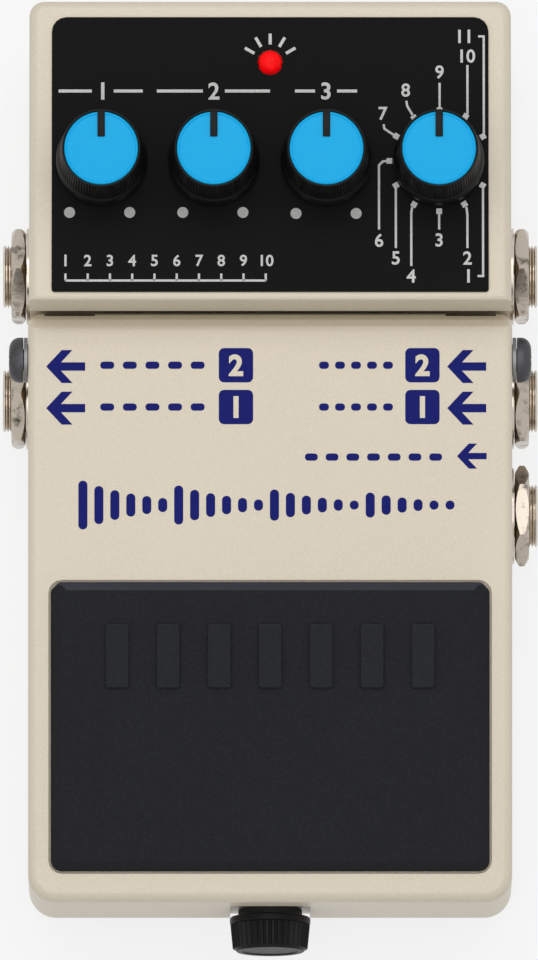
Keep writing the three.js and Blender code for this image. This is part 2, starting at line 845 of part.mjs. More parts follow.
function pointerBar(grow, bottom, top) {
  const half = pointerWidth / 2 + grow;
  return box(-half, half, capRadius - pointerLength - grow, capRadius + grow, bottom, top);
}

// A knob with its shaft, standing on z = 0 at the skirt's lower edge
function knob() {
  const body = toothedCone(knobBaseRadius, knobTopRadius, knobToothDepth, knobTeeth, knobHeight);
  const hollow = ring(knobHollowRadius, knobHubRadius, -cutOverrun, knobHollowDepth);
  const seat = cylinder(capRadius + capGap, knobHeight - capThickness, knobHeight + cutOverrun);
  const shaft = cylinder(shaftRadius, -knobLift - shaftDepth, knobHollowDepth, smallSides);
  const pointer = pointerBar(0, knobHeight - capThickness - capThickness, knobHeight);
  return join(cut(body, hollow, seat), shaft, pointer);
}

function knobCap() {
  const disc = cylinder(capRadius, knobHeight - capThickness + capGap, knobHeight);
  return cut(disc, pointerBar(capGap, 0, knobHeight + cutOverrun));
}

// A jack along +Z, its panel face at z = 0
function jack() {
  const shoulder = -baseWall - seatGap;
  const body = raised(rectangle(jackBody, jackBody, jackBodyCorner), shoulder - jackBodyLength, shoulder);
  const bush = turned([
    [0, shoulder - jackBodyCorner],
    [jackBushRadius, shoulder - jackBodyCorner],
    [jackBushRadius, jackProtrusion - jackChamfer],
    [jackBushRadius - jackChamfer, jackProtrusion],
    [0, jackProtrusion],
  ]);
  return cut(join(body, bush), cylinder(jackBore, -jackBoreDepth, jackProtrusion + cutOverrun));
}

function jackNut() {
  const cornerRadius = nutAcrossFlats / 2 / Math.cos(Math.PI / nutSides);
  const hexagon = new THREE.CylinderGeometry(cornerRadius, cornerRadius, nutThickness, nutSides);
  hexagon.rotateX(quarterTurn);
  const bottom = lockWasherThickness + 2 * seatGap;
  hexagon.translate(0, 0, bottom + nutThickness / 2);
  const bore = cylinder(jackBushRadius + seatGap, 0, bottom + nutThickness + cutOverrun);
  return cut(hexagon, bore);
}

// The power socket along +Z, its open face at z = 0
function powerSocket() {
  const shoulder = -baseWall - runningGap;
  const section = rectangle(powerBodyWidth, jackBody, jackBodyCorner);
  const body = raised(section, shoulder - powerBodyLength, shoulder);
  const collar = cylinder(powerCollar, shoulder - jackBodyCorner, -seatGap);
  const bore = cylinder(powerBore, -powerBoreDepth, cutOverrun);
  const pin = cylinder(powerPin, -powerBoreDepth - powerPin, -powerPinSetback, smallSides);
  return join(cut(join(body, collar), bore), pin);
}

function footSwitch() {
  const bottom = jackBoardHeight + boardThickness + seatGap;
  const body = raised(rectangle(switchBody, switchBody, jackBodyCorner), bottom, switchTop);
  return cut(body, cylinder(switchBore, switchTop - switchBoreDepth, switchTop + cutOverrun, smallSides));
}

function switchStem() {
  const bottom = switchTop - switchBoreDepth + stemTravel + runningGap;
  const tip = stemRadius / 3;
  return turned([
    [0, bottom],
    [stemRadius, bottom],
    [stemRadius, stemTop - tip],
    [stemRadius - tip, stemTop],
    [0, stemTop],
  ], smallSides);
}

// The rubber boot over the stem, standing on the deck
function switchBoot() {
  const bottom = deckAt(switchY + bootRadius) + seatGap;
  const roof = bootTop - bootWall;
  const shoulder = bottom + bootWall;
  return turned([
    [bootRadius - 2 * bootWall, bottom],
    [bootRadius, bottom],
    [bootRadius, shoulder],
    [bootTopRadius + bootWall, roof],
    [bootTopRadius, bootTop],
    [0, bootTop],
    [0, roof],
    [bootTopRadius, roof],
    [bootRadius - 2 * bootWall, shoulder],
    [bootRadius - 2 * bootWall, bottom],
  ], smallSides);
}

// The spring's centre line: a rising helix, closer at both ends
function springPoint(share) {
  const angle = 2 * Math.PI * springTurns * share;
  const height = springTop - springSeat - 2 * springWire - 2 * seatGap;
  const endShare = 1 / springTurns;
  const midPitch = (height - 2 * springEndPitch) / (springTurns - 2);
  const end = Math.min(share, endShare) + Math.max(0, share - 1 + endShare);
  const rise = end * springTurns * springEndPitch + (share - end) * springTurns * midPitch;
  return new THREE.Vector3(
    springRadius * Math.cos(angle),
    springRadius * Math.sin(angle),
    springSeat + springWire + seatGap + rise,
  );
}

// One unbroken tube of a few sides round the centre line
function returnSpring() {
  const rings = springTurns * springStepsPerTurn;
  const centres = Array.from({ length: rings + 1 }, (_, i) => springPoint(i / rings));
  const positions = [];
  centres.forEach((centre, i) => {
    const angle = (2 * Math.PI * springTurns * i) / rings;
    const outward = new THREE.Vector3(Math.cos(angle), Math.sin(angle), 0);
    const ahead = centres[Math.min(i + 1, rings)].clone().sub(centres[Math.max(i - 1, 0)]).normalize();
    const upward = outward.clone().cross(ahead).normalize();
    for (let side = 0; side < springSides; side += 1) {
      const turn = (2 * Math.PI * side) / springSides;
      const point = centre.clone()
        .addScaledVector(outward, springWire * Math.cos(turn))
        .addScaledVector(upward, springWire * Math.sin(turn));
      positions.push(point.x, point.y, point.z);
    }
  });
  const index = [];
  const at = (i, side) => i * springSides + (side % springSides);
  for (let i = 0; i < rings; i += 1) {
    for (let side = 0; side < springSides; side += 1) {
      index.push(at(i, side), at(i + 1, side), at(i, side + 1));
      index.push(at(i, side + 1), at(i + 1, side), at(i + 1, side + 1));
    }
  }
  for (let side = 1; side < springSides - 1; side += 1) {
    index.push(at(0, 0), at(0, side), at(0, side + 1));
    index.push(at(rings, 0), at(rings, side + 1), at(rings, side));
  }
  const geometry = new THREE.BufferGeometry();
  geometry.setAttribute("position", new THREE.Float32BufferAttribute(positions, 3));
  geometry.setIndex(index);
  const apart = springStepsPerTurn / 2;
  let least = Infinity;
  centres.forEach((centre, i) => {
    centres.slice(i + apart).forEach((other) => {
      least = Math.min(least, centre.distanceTo(other));
    });
  });
  console.log("return_spring: least gap to itself " + (least - 2 * springWire).toFixed(2) + " mm");
  return solid(geometry);
}

// A U of nylon let into the slot of the base's front wall, open at the top
function guideBush() {
  const half = guideSlot / 2 + guideWall;
  const bottom = thumbscrewHeight - thumbscrewNose - guideDrop - guideWall;
  const slotBottom = bottom + guideWall;
  const top = deckAt(-lipFront);
  const front = -lipFront;
  const rear = baseWall - lipFront;
  const body = box(-half, half, front - guideFlange, rear + guideFlange, bottom, top);
  const wide = half + guideFlangeWidth;
  const frontPlate = box(-wide, wide, front - guideFlange - seatGap, front - seatGap,
    bottom - guideFlangeWidth, top);
  const rearPlate = box(-wide, wide, rear + seatGap, rear + guideFlange + seatGap,
    bottom - guideFlangeWidth, top);
  const slot = box(-guideSlot / 2, guideSlot / 2, front - guideFlange - cutOverrun,
    rear + guideFlange + cutOverrun, slotBottom, top + cutOverrun);
  return cut(join(body, frontPlate, rearPlate), slot);
}

// The battery lies across the tub, its terminals to the right
function battery() {
  const section = rectangle(batteryWidth, batteryHeight, batteryCorner);
  const body = across(section, batteryLeft, batteryRight).translate(0, batteryMiddle, batteryCentre);
  const terminals = [-1, 1].map((side) =>
    cylinder(terminalRadius, batteryRight - cutOverrun, batteryRight + terminalLength, smallSides)
      .rotateY(quarterTurn)
      .translate(0, batteryMiddle + (side * terminalSpacing) / 2, batteryCentre),
  );
  return join(body, ...terminals);
}

function batterySnap() {
  const left = batteryRight + seatGap;
  const section = rectangle(snapWidth, snapHeight, snapCorner);
  const body = across(section, left, left + snapThickness).translate(0, batteryMiddle, batteryCentre);
  const sockets = [-1, 1].map((side) =>
    cylinder(terminalRadius + seatGap, left - cutOverrun, batteryRight + terminalLength + seatGap, smallSides)
      .rotateY(quarterTurn)
      .translate(0, batteryMiddle + (side * terminalSpacing) / 2, batteryCentre),
  );
  return cut(body, ...sockets);
}

// A lead from the snap's rear edge through the tub wall to the jack board
function batteryLead(offset) {
  const snapRear = batteryMiddle + snapWidth / 2;
  const z = leadHoleHeight + offset;
  const wall = tubRear + tubRearWall;
  const end = jackBoardHeight + boardThickness + seatGap;
  const path = new THREE.CatmullRomCurve3([
    new THREE.Vector3(leadX, snapRear + seatGap, z),
    new THREE.Vector3(leadX, tubRear, z),
    new THREE.Vector3(leadX, wall + leadRise / 2, z),
    new THREE.Vector3(leadX + offset, wall + leadTail, z - leadRise),
    new THREE.Vector3(leadX + offset, wall + leadTail, end),
  ]);
  const circle = new THREE.Shape();
  circle.absarc(0, 0, leadRadius, 0, 2 * Math.PI);
  const settings = {
    steps: leadSteps,
    extrudePath: path,
    curveSegments: leadCurveSegments,
    bevelEnabled: false,
  };
  return solid(new THREE.ExtrudeGeometry(circle, settings));
}

// The treadle is drawn about its hinge axis, y along the slope and z square to it
function onSlope(y, z) {
  const point = new THREE.Vector2(y - hingeY, z - hingeZ).rotateAround(new THREE.Vector2(), -slope);
  return [point.x, point.y];
}

function frontWallAt(z, wall) {
  return onSlope(wall - treadleFront, z);
}

// The point of the treadle's front wall, drawn in by a wall, that lies at a height above the hinge
function frontAtRise(rise, wall) {
  const [y, z] = onSlope(wall - treadleFront, hingeZ);
  return [y + (rise - z) * Math.tan(slope), rise];
}

function treadleShell() {
  const side = outline([
    [treadleRear, treadleTopRise, treadleRearRadius],
    ...arcCorners(0, 0, swingRadius, -Math.acos(treadleRear / swingRadius), -quarterTurn - slope),
    onSlope(deckStart, hingeZ - swingRadius),
    onSlope(seamBreak, seamBreakHeight + treadleSeamRise),
    frontWallAt(treadleSkirtBottom, -cutOverrun),
    frontAtRise(treadleTopRise, -cutOverrun),
  ]);
  const front = frontAtRise(treadleTopRise, 0)[0];
  const plan = (inset) => {
    const half = halfTreadle - inset;
    return [
      [-half, front + inset, treadleFrontCorner - inset],
      [half, front + inset, treadleFrontCorner - inset],
      [half, treadleRear - inset, treadleRearCorner - inset],
      [-half, treadleRear - inset, treadleRearCorner - inset],
    ];
  };
  const depth = treadleTopRise - frontWallAt(treadleSkirtBottom, 0)[1] + cutOverrun;
  const block = roundedBlock(plan, -depth, treadleTopRise, treadleEdgeRadius);
  leanForward(block);
  const beyond = halfTreadle + cutOverrun;
  return common(across(side, -beyond, beyond), block);
}

// Shears a plan extrusion at its front so that its sides stay parallel to the upright front wall
function leanForward(geometry) {
  const positions = geometry.attributes.position;
  for (let i = 0; i < positions.count; i += 1) {
    if (positions.getY(i) < 0) {
      const lean = (positions.getZ(i) - treadleTopRise) * Math.tan(slope);
      positions.setY(i, positions.getY(i) + lean);
    }
  }
}

function treadleHollow() {
  const roof = treadleTopRise - treadleRoof;
  const rear = treadleRear - treadleRearWall;
  const inner = swingRadius - treadleRearWall;
  const outer = swingRadius + cutOverrun;
  const below = frontWallAt(treadleSkirtBottom - cutOverrun, treadleWall);
  const side = outline([
    [rear, roof],
    ...arcCorners(0, 0, inner, -Math.acos(rear / inner), rearWallEndAngle),
    [outer * Math.cos(rearWallEndAngle), outer * Math.sin(rearWallEndAngle)],
    [0, -outer - cutOverrun],
    below,
    frontAtRise(roof, treadleWall),
  ]);
  const half = halfTreadle - treadleWall;
  const plan = outline([
    [-half, frontAtRise(treadleTopRise, treadleWall)[0], treadleFrontCorner - treadleWall],
    [half, frontAtRise(treadleTopRise, treadleWall)[0], treadleFrontCorner - treadleWall],
    [half, treadleRear + cutOverrun],
    [-half, treadleRear + cutOverrun],
  ]);
  const planCut = raised(plan, below[1] - cutOverrun, treadleTopRise);
  leanForward(planCut);
  return common(across(side, -half, half), planCut);
}

function lugSlot(side) {
  const outer = halfTreadle - treadleWall;
  const depth = swingRadius + cutOverrun;
  const slot = box(lugInner - lugSlotGap, outer, -depth, depth, -depth, lugPocketRise);
  return side > 0 ? solid(slot) : solid(slot).mirror([1, 0, 0]);
}

function levelBoss(x, y, radius, bottom) {
  const roof = treadleTopRise - treadleRoof / 2;
  const boss = cylinder(radius, bottom - hingeZ, roof).translate(x, y - hingeY, 0).rotateX(-slope);
  return common(boss, box(-halfTreadle, halfTreadle, -treadleFront * 2, treadleRear, -treadleFront, roof));
}

function padRecess() {
  const shape = rectangle(recessWidth, recessLength, recessCorner);
  const recess = raised(shape, treadleTopRise - recessDepth, treadleTopRise + cutOverrun);
  return recess.translate(0, recessRear - recessLength / 2, 0);
}

// The thumbscrew's pocket in the front wall, open below, in the treadle's frame
function thumbscrewPocket() {
  const half = pocketWidth / 2;
  const shape = outline([
    [-half, treadleSkirtBottom - cutOverrun],
    [half, treadleSkirtBottom - cutOverrun],
    [half, pocketTop, pocketCorner],
    [-half, pocketTop, pocketCorner],
  ]);
  const pocket = along(shape, -treadleFront - cutOverrun, pocketDepth - treadleFront);
  return pocket.translate(0, -hingeY, -hingeZ).rotateX(-slope);
}

function treadleCasting() {
  const screwHole = cylinder(thumbscrewShank + thumbscrewHoleGap, 0, treadleWall + 2 * cutOverrun)
    .rotateX(-quarterTurn)
    .translate(0, -treadleFront - cutOverrun - hingeY, thumbscrewHeight - hingeZ)
    .rotateX(-slope);
  const earHole = cylinder(hingeScrewRadius + seatGap + bushWall + seatGap, -halfTreadle - cutOverrun,
    halfTreadle + cutOverrun).rotateY(quarterTurn);
  const cupBoss = levelBoss(0, springY, cupStemRadius + bushWall, cupStemTop + runningGap);
  const pusher = levelBoss(switchX, switchY, pusherRadius, pusherBottom);
  const hollowed = join(cut(treadleShell(), treadleHollow()), cupBoss, pusher);
  return cut(hollowed, lugSlot(1), lugSlot(-1), padRecess(), thumbscrewPocket(), screwHole, earHole);
}

// The pad fills the recess and stands proud with a bevel on every side
function treadlePad() {
  const width = recessWidth - 2 * padGap;
  const length = recessLength - 2 * padGap;
  const corners = (inset, chamfer) => outline([
    [inset - width / 2, inset - length / 2, recessCorner - padGap],
    [width / 2 - inset, inset - length / 2, recessCorner - padGap],
    [width / 2 - inset, length / 2 - inset - chamfer],
    [width / 2 - inset - chamfer, length / 2 - inset],
    [inset + chamfer - width / 2, length / 2 - inset],
    [inset - width / 2, length / 2 - inset - chamfer],
  ]);
  const bottom = treadleTopRise - recessDepth + runningGap;
  const waist = treadleTopRise + seatGap;
  const top = waist + padRise;
  const foot = raised(corners(0, padTopChamfer), bottom, waist);
  const crown = raised(corners(0, padTopChamfer), waist - recessDepth / 2, top);
  const positions = crown.attributes.position;
  for (let i = 0; i < positions.count; i += 1) {
    if (positions.getZ(i) > waist) {
      positions.setX(i, positions.getX(i) * (1 - (2 * padBevel) / width));
      positions.setY(i, positions.getY(i) * (1 - (2 * padBevel) / length));
    }
  }
  const middle = recessRear - recessLength / 2;
  const bars = Array.from({ length: padBarCount }, (_, i) => {
    const x = (i - (padBarCount - 1) / 2) * padBarPitch;
    const half = padBarWidth / 2;
    return box(x - half, x + half, padBarTop - padBarLength - middle, padBarTop - middle,
      waist, top + padBarRise);
  });
  return join(foot, crown, ...bars).translate([0, middle, 0]);
}

function thumbscrew() {
  const cone = toothedCone(thumbscrewBackRadius, thumbscrewEndRadius, thumbscrewRibDepth, thumbscrewRibs,
    thumbscrewLength);
  const shank = turned([
    [0, -thumbscrewShankLength],
    [thumbscrewNose - thumbscrewChamfer, -thumbscrewShankLength],
    [thumbscrewNose, thumbscrewChamfer - thumbscrewShankLength],
    [thumbscrewNose, thumbscrewNoseLength - thumbscrewShankLength],
    [thumbscrewShank, thumbscrewNoseLength + thumbscrewChamfer - thumbscrewShankLength],
    [thumbscrewShank, thumbscrewLength / 2],
    [0, thumbscrewLength / 2],
  ], smallSides);
  return join(cone, shank);
}

function springCup() {
  const top = springTop + seatGap + cupThickness;
  const bottom = springTop + seatGap;
  return turned([
    [0, bottom - cupPegLength],
    [cupPegRadius, bottom - cupPegLength],
    [cupPegRadius, bottom],
    [cupRadius, bottom],
    [cupRadius, top],
    [cupStemRadius, top],
    [cupStemRadius, cupStemTop],
    [0, cupStemTop],
  ]);
}

function hingeScrew() {
  const head = hingeScrewHeadRadius;
  const crown = hingeScrewHeadHeight;
  const round = crown / 2;
  const arc = Array.from({ length: quarterSteps + 1 }, (_, i) => {
    const angle = (quarterTurn * i) / quarterSteps;
    return [head - round + round * Math.cos(angle), crown - round + round * Math.sin(angle)];
  });
  return turned([
    [0, -hingeScrewLength - bushFlange],
    [hingeScrewRadius, -hingeScrewLength - bushFlange],
    [hingeScrewRadius, 0],
    [head, 0],
    ...arc,
    [0, crown],
  ], smallSides);
}

// A flanged bush along Z: its flange under the screw head at z = 0, its sleeve through the ear
function hingeBush() {
  const inner = hingeScrewRadius + seatGap;
  const outer = inner + bushWall;
  const end = lugOuter + seatGap - (halfTreadle + seatGap + bushFlange);
  return turned([
    [inner, end],
    [outer, end],
    [outer, -bushFlange],
    [hingeScrewHeadRadius, -bushFlange],
    [hingeScrewHeadRadius, 0],
    [inner, 0],
    [inner, end],
  ], smallSides);
}

// Base assembly
addPiece(pedal, "base_casting", baseCasting(), pearlPaint);
addPiece(pedal, "bottom_plate", bottomPlate(), zincSteel);
addPiece(pedal, "rubber_mat", rubberMat(), blackRubber);
for (const [name, x, y] of plateScrews) {
  const screw = addPiece(pedal, "bottom_screw_" + name, plateScrew(), zincSteel);
  screw.position.set(x, y, 0);
}
addPiece(pedal, "panel_label", panelLabel(), blackLabel);
addPiece(pedal, "led_lens", ledLens(), redLens).position.set(0, ledY, 0);
addPiece(pedal, "main_board", mainBoard(), boardGreen);
addPiece(pedal, "jack_board", jackBoard(), boardGreen);
addPiece(pedal, "board_ribbon", boardRibbon(), ribbonGrey);

// Knobs over their pots
for (const { name, x } of knobs) {
  const control = new THREE.Group();
  control.position.set(x, knobY, 0);
  pedal.add(control);
  addPiece(control, name === "mode" ? "mode_switch" : "pot_" + name, potentiometer(), zincSteel);
  addPiece(control, "knob_" + name, knob(), blackPlastic).position.set(0, 0, labelTop + knobLift);
  addPiece(control, "knob_cap_" + name, knobCap(), blueCap).position.set(0, 0, labelTop + knobLift);
}

// Jacks through the side walls with their washers and nuts
for (const { name, side, y, flatUp } of jacks) {
  const mount = new THREE.Group();
  mount.position.set(side * halfBody, y, jackHeight);
  mount.rotation.y = side * quarterTurn;
  pedal.add(mount);
  addPiece(mount, "jack_" + name, jack(), blackPlastic);
  const lockWasher = ring(lockWasherRadius, jackBushRadius + seatGap, seatGap, seatGap + lockWasherThickness);
  addPiece(mount, "jack_washer_" + name, lockWasher, nickel);
  addPiece(mount, "jack_nut_" + name, jackNut(), nickel).rotation.z = flatUp ? 0 : Math.PI / nutSides;
}
const power = addPiece(pedal, "power_socket", powerSocket(), blackPlastic);
power.rotation.x = -quarterTurn;
power.position.set(0, rearReach - (rearDraft * jackHeight) / panelHeight, jackHeight);

// Foot switch, return spring and the guide for the thumbscrew's nose
addPiece(pedal, "foot_switch", footSwitch(), blackPlastic).position.set(switchX, switchY, 0);
addPiece(pedal, "switch_stem", switchStem(), whiteNylon).position.set(switchX, switchY, 0);
addPiece(pedal, "switch_boot", switchBoot(), blackRubber).position.set(switchX, switchY, 0);
addPiece(pedal, "return_spring", returnSpring(), nickel).position.set(0, springY, 0);
addPiece(pedal, "guide_bush", guideBush(), whiteNylon);

// Battery and its snap
addPiece(pedal, "battery", battery(), batterySleeve);
addPiece(pedal, "battery_snap", batterySnap(), blackPlastic);
addPiece(pedal, "battery_lead_red", batteryLead(leadSpacing / 2), redWire);
addPiece(pedal, "battery_lead_black", batteryLead(-leadSpacing / 2), blackRubber);

// Hinge screws and bushes at both ears
for (const [name, side] of [["left", -1], ["right", 1]]) {
  const end = new THREE.Group();
  end.position.set(side * (halfTreadle + seatGap + bushFlange), hingeY, hingeZ);
  end.rotation.y = side * quarterTurn;
  pedal.add(end);
  addPiece(end, "hinge_bush_" + name, hingeBush(), zincSteel);
  addPiece(end, "hinge_screw_" + name, hingeScrew(), blackSteel).position.set(0, 0, seatGap);
}

// Treadle assembly, turned to its slope about the hinge
const treadle = new THREE.Group();
treadle.position.set(0, hingeY, hingeZ);
treadle.rotation.x = slope;
pedal.add(treadle);
addPiece(treadle, "treadle_casting", treadleCasting(), pearlPaint);
addPiece(treadle, "treadle_pad", treadlePad(), blackRubber);

// What hangs level from the treadle
const level = new THREE.Group();
level.rotation.x = -slope;
treadle.add(level);
addPiece(level, "spring_cup", springCup(), whiteNylon).position.set(0, springY - hingeY, -hingeZ);
const screwMount = new THREE.Group();
screwMount.position.set(0, thumbscrewLength - frontReach - hingeY, thumbscrewHeight - hingeZ);
screwMount.rotation.x = quarterTurn;
level.add(screwMount);
addPiece(screwMount, "thumbscrew", thumbscrew(), blackPlastic);
const carrier = ring(washerRadius, thumbscrewShank + thumbscrewHoleGap, -washerThickness - seatGap, -seatGap);
addPiece(screwMount, "thumbscrew_washer", carrier, whiteNylon);

export default pedal;
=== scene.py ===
"""A compact delay pedal: pearl castings, a hinged treadle with a rubber pad, four knobs and five jacks."""

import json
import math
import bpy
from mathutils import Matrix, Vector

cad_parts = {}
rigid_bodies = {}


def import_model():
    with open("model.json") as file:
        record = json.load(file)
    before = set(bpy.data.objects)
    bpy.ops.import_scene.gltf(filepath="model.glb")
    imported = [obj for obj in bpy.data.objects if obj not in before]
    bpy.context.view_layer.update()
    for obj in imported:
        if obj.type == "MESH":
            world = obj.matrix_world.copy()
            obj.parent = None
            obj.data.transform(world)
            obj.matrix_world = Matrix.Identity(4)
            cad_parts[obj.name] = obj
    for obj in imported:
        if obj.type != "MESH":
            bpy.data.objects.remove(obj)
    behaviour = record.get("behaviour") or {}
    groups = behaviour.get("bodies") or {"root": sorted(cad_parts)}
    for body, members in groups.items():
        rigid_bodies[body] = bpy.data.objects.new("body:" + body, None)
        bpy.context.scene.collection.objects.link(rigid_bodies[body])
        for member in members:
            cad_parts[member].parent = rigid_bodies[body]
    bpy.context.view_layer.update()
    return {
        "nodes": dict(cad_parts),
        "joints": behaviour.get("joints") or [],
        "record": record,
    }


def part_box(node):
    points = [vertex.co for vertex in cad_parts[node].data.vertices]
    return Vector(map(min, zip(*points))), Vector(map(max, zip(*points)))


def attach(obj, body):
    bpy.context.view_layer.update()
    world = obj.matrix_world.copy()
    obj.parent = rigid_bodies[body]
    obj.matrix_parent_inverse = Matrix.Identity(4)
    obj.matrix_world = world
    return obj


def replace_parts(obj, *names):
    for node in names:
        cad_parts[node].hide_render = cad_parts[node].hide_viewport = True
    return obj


bl_info = {
    "name": "Compact Delay Pedal",
    "version": (1, 0, 0),
    "blender": (4, 5, 0),
    "location": "3D View > Sidebar > Pedal",
    "description": "Builds the visible pieces of a compact delay pedal and their finishes",
    "category": "Object",
}

from contextlib import contextmanager

import bmesh
import bpy
from mathutils import Matrix, Vector

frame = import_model()

# Lengths are written in millimetres and become metres through MM
MM = 0.001
TAU = 2 * math.pi
QUARTER = math.pi / 2

# Places taken from the frame
HINGE = Vector(next(j for j in frame["joints"] if j["name"] == "treadle_hinge")["pos_m"])
SLOPE = math.radians(9)
TREADLE_TOP = 4.67
LABEL_TOP = 47.9
HOUSING_SIDE = 33.05
TREADLE_SIDE = 33.25
JACK_HEIGHT = 16
JACKS = (
    ("output_b", -1, 29.9, False),
    ("output_a", -1, 12.45, False),
    ("input_b", 1, 29.9, False),
    ("input_a", 1, 12.45, False),
    ("expression", 1, -3.6, True),
)
KNOBS = (("level", -23.1), ("feedback", -7.7), ("time", 7.7), ("mode", 23.1))
KNOB_Y = 40.6
KNOB_Z = 48.4
LED_Y = 54.4

# Shading, with angles in degrees. Edges past a piece's angle stay sharp
SHARP_ANGLE = 35
NUT_ANGLE = 20
SCREW_ANGLE = 30
THUMB_ANGLE = 40
KNOB_ANGLE = 50
ROUND_ANGLE = 60
FLAT_ANGLE = 0.3
NORMAL_WEIGHT = 90

# The distance at which points become one, and how far a cutting tool passes a face
MERGE = 0.002
CUT_PAST = 1

# Facets and rounded edges, with angles in degrees
TURN_SIDES = 64
CIRCLE_SIDES = 24
ARC_STEPS = 4
SMALL_STEPS = 2
EDGE_SEGMENTS = 2
EDGE_ANGLE = 30

# Colours as they are seen, each of red, green and blue from 0 to 1
PEARL = (0.85, 0.81, 0.735)
NAVY = (0.0, 0.05, 0.43)
PRINT_GREY = (0.84, 0.84, 0.83)
DOT_GREY = (0.74, 0.74, 0.73)
LABEL_BLACK = (0.04, 0.043, 0.04)
CAP_BLUE = (0.02, 0.705, 0.945)
LENS_RED = (0.98, 0.02, 0.04)
KNOB_BLACK = (0.05, 0.05, 0.052)
POINTER_BLACK = (0.03, 0.03, 0.034)
PLASTIC_BLACK = (0.065, 0.065, 0.07)
PAD_BLACK = (0.078, 0.082, 0.096)
MAT_BLACK = (0.1, 0.1, 0.105)
BOOT_BLACK = (0.09, 0.09, 0.095)
NYLON_WHITE = (0.86, 0.85, 0.8)
NICKEL = (0.8, 0.76, 0.71)
NUT_NICKEL = (0.72, 0.68, 0.63)
ZINC = (0.68, 0.68, 0.67)
BLACKENED = (0.3, 0.3, 0.31)
STEEL = (0.5, 0.5, 0.5)
WIRE_RED = (0.7, 0.07, 0.07)
WIRE_BLACK = (0.05, 0.05, 0.055)
BOARD_GREEN = (0.05, 0.3, 0.16)
TRACK_GREEN = (0.09, 0.42, 0.22)
SOLDER = (0.72, 0.7, 0.62)
SLEEVE_DARK = (0.14, 0.15, 0.17)
SLEEVE_COPPER = (0.72, 0.44, 0.26)
SLEEVE_STEEL = (0.66, 0.66, 0.65)
RIBBON_GREY = (0.68, 0.68, 0.67)
RIBBON_RED = (0.6, 0.12, 0.1)
WHITE = (1, 1, 1, 1)

# The pad's rim faces that lean to the rear and its raised bars, as shares of the pad's own colour. Both are
# painted highlights: the rim's of the light from behind, the bars' of the light they catch
RIM_HIGHLIGHT = 2.6
BAR_HIGHLIGHT = 1.3

# Depths of the grain on the finishes
FINE_GRAIN = 0.02
EVEN_GRAIN = 0.03
DEEP_GRAIN = 0.04
WIRE_GROOVE = 0.2

# Patterns in millimetres along the battery and across the ribbon
SLEEVE_BAND = (4, 4.2)
SLEEVE_END = (15.5, 15.7)
RIBBON_PITCH = 1.27
RIBBON_EDGE = (-5.2, -5)


def linear(colour):
    """Turns a colour as it is seen into the linear values that a shader takes."""
    return tuple(c / 12.92 if c <= 0.04045 else ((c + 0.055) / 1.055) ** 2.4 for c in colour) + (1,)


def toned(colour, factor, lift=0):
    """A linear colour, lighter or darker."""
    return tuple(min(1, c * factor + lift) for c in colour[:3]) + (1,)


class Wire:
    """One output of a node tree; arithmetic on it adds Math nodes."""

    def __init__(self, tree, socket):
        self.tree = tree
        self.socket = socket

    def math(self, operation, *values):
        return self.tree.node("ShaderNodeMath", {"operation": operation}, *values)

    def __add__(self, other):
        return self.math("ADD", self, other)

    __radd__ = __add__

    def __sub__(self, other):
        return self.math("SUBTRACT", self, other)

    def __rsub__(self, other):
        return self.math("SUBTRACT", other, self)

    def __mul__(self, other):
        return self.math("MULTIPLY", self, other)

    __rmul__ = __mul__

    def between(self, low, high):
        """0 below low, 1 above high, and smooth between them."""
        return self.tree.node("ShaderNodeMapRange", {"interpolation_type": "SMOOTHSTEP"}, self, low, high)


class Tree:
    """A node tree, with one method for every node."""

    def __init__(self, tree):
        self.nodes = tree.nodes
        self.links = tree.links

    def connect(self, value, socket):
        if isinstance(value, Wire):
            self.links.new(value.socket, socket)
        else:
            socket.default_value = value

    def node(self, kind, settings, *values, output=0, **named):
        node = self.nodes.new(kind)
        for key, value in settings.items():
            setattr(node, key, value)
        for index, value in enumerate(values):
            self.connect(value, node.inputs[index])
        for key, value in named.items():
            self.connect(value, node.inputs[key.replace("_", " ")])
        return Wire(self, node.outputs[output])

    def seen_directly(self):
        """1 where a camera, gloss or transmission ray lands."""
        rays = self.nodes.new("ShaderNodeLightPath").outputs
        result = Wire(self, rays["Is Camera Ray"])
        for kind in ("Is Glossy Ray", "Is Transmission Ray"):
            result = result.math("MAXIMUM", result, Wire(self, rays[kind]))
        return result


class Finish(Tree):
    """A material with its shader tree."""

    def __init__(self, name, **constants):
        self.material = bpy.data.materials.new(name)
        self.material.use_nodes = True
        super().__init__(self.material.node_tree)
        self.surface = self.nodes["Principled BSDF"]
        self.paint(**constants)
        self.place = self.node("ShaderNodeTexCoord", {}, output="Object")

    def noise(self, scale, detail=2.0, roughness=0.5, where=None):
        return self.node("ShaderNodeTexNoise", {}, Vector=where or self.place, Scale=scale, Detail=detail,
                         Roughness=roughness)

    def cells(self, scale):
        return self.node("ShaderNodeTexVoronoi", {}, Vector=self.place, Scale=scale)

    def stretched(self, x, y, z):
        return self.node("ShaderNodeMapping", {}, self.place, Scale=(x, y, z))

    def blend(self, share, first, second):
        """A colour between two, each a colour or a Wire."""
        node = self.nodes.new("ShaderNodeMix")
        node.data_type = "RGBA"
        for value, socket in ((share, 0), (first, 6), (second, 7)):
            self.connect(value, node.inputs[socket])
        return Wire(self, node.outputs[2])

    def along(self, low, high):
        """0 to 1 along X, between two places in millimetres."""
        return self.node("ShaderNodeSeparateXYZ", {}, self.place, output="X").between(low * MM, high * MM)

    def grain(self, height, strength, depth):
        bump = self.node("ShaderNodeBump", {}, Strength=strength, Distance=depth * MM, Height=height)
        self.connect(bump, self.surface.inputs["Normal"])

    def paint(self, **values):
        for socket, value in values.items():
            self.connect(value, self.surface.inputs[socket.replace("_", " ")])


# Finishes


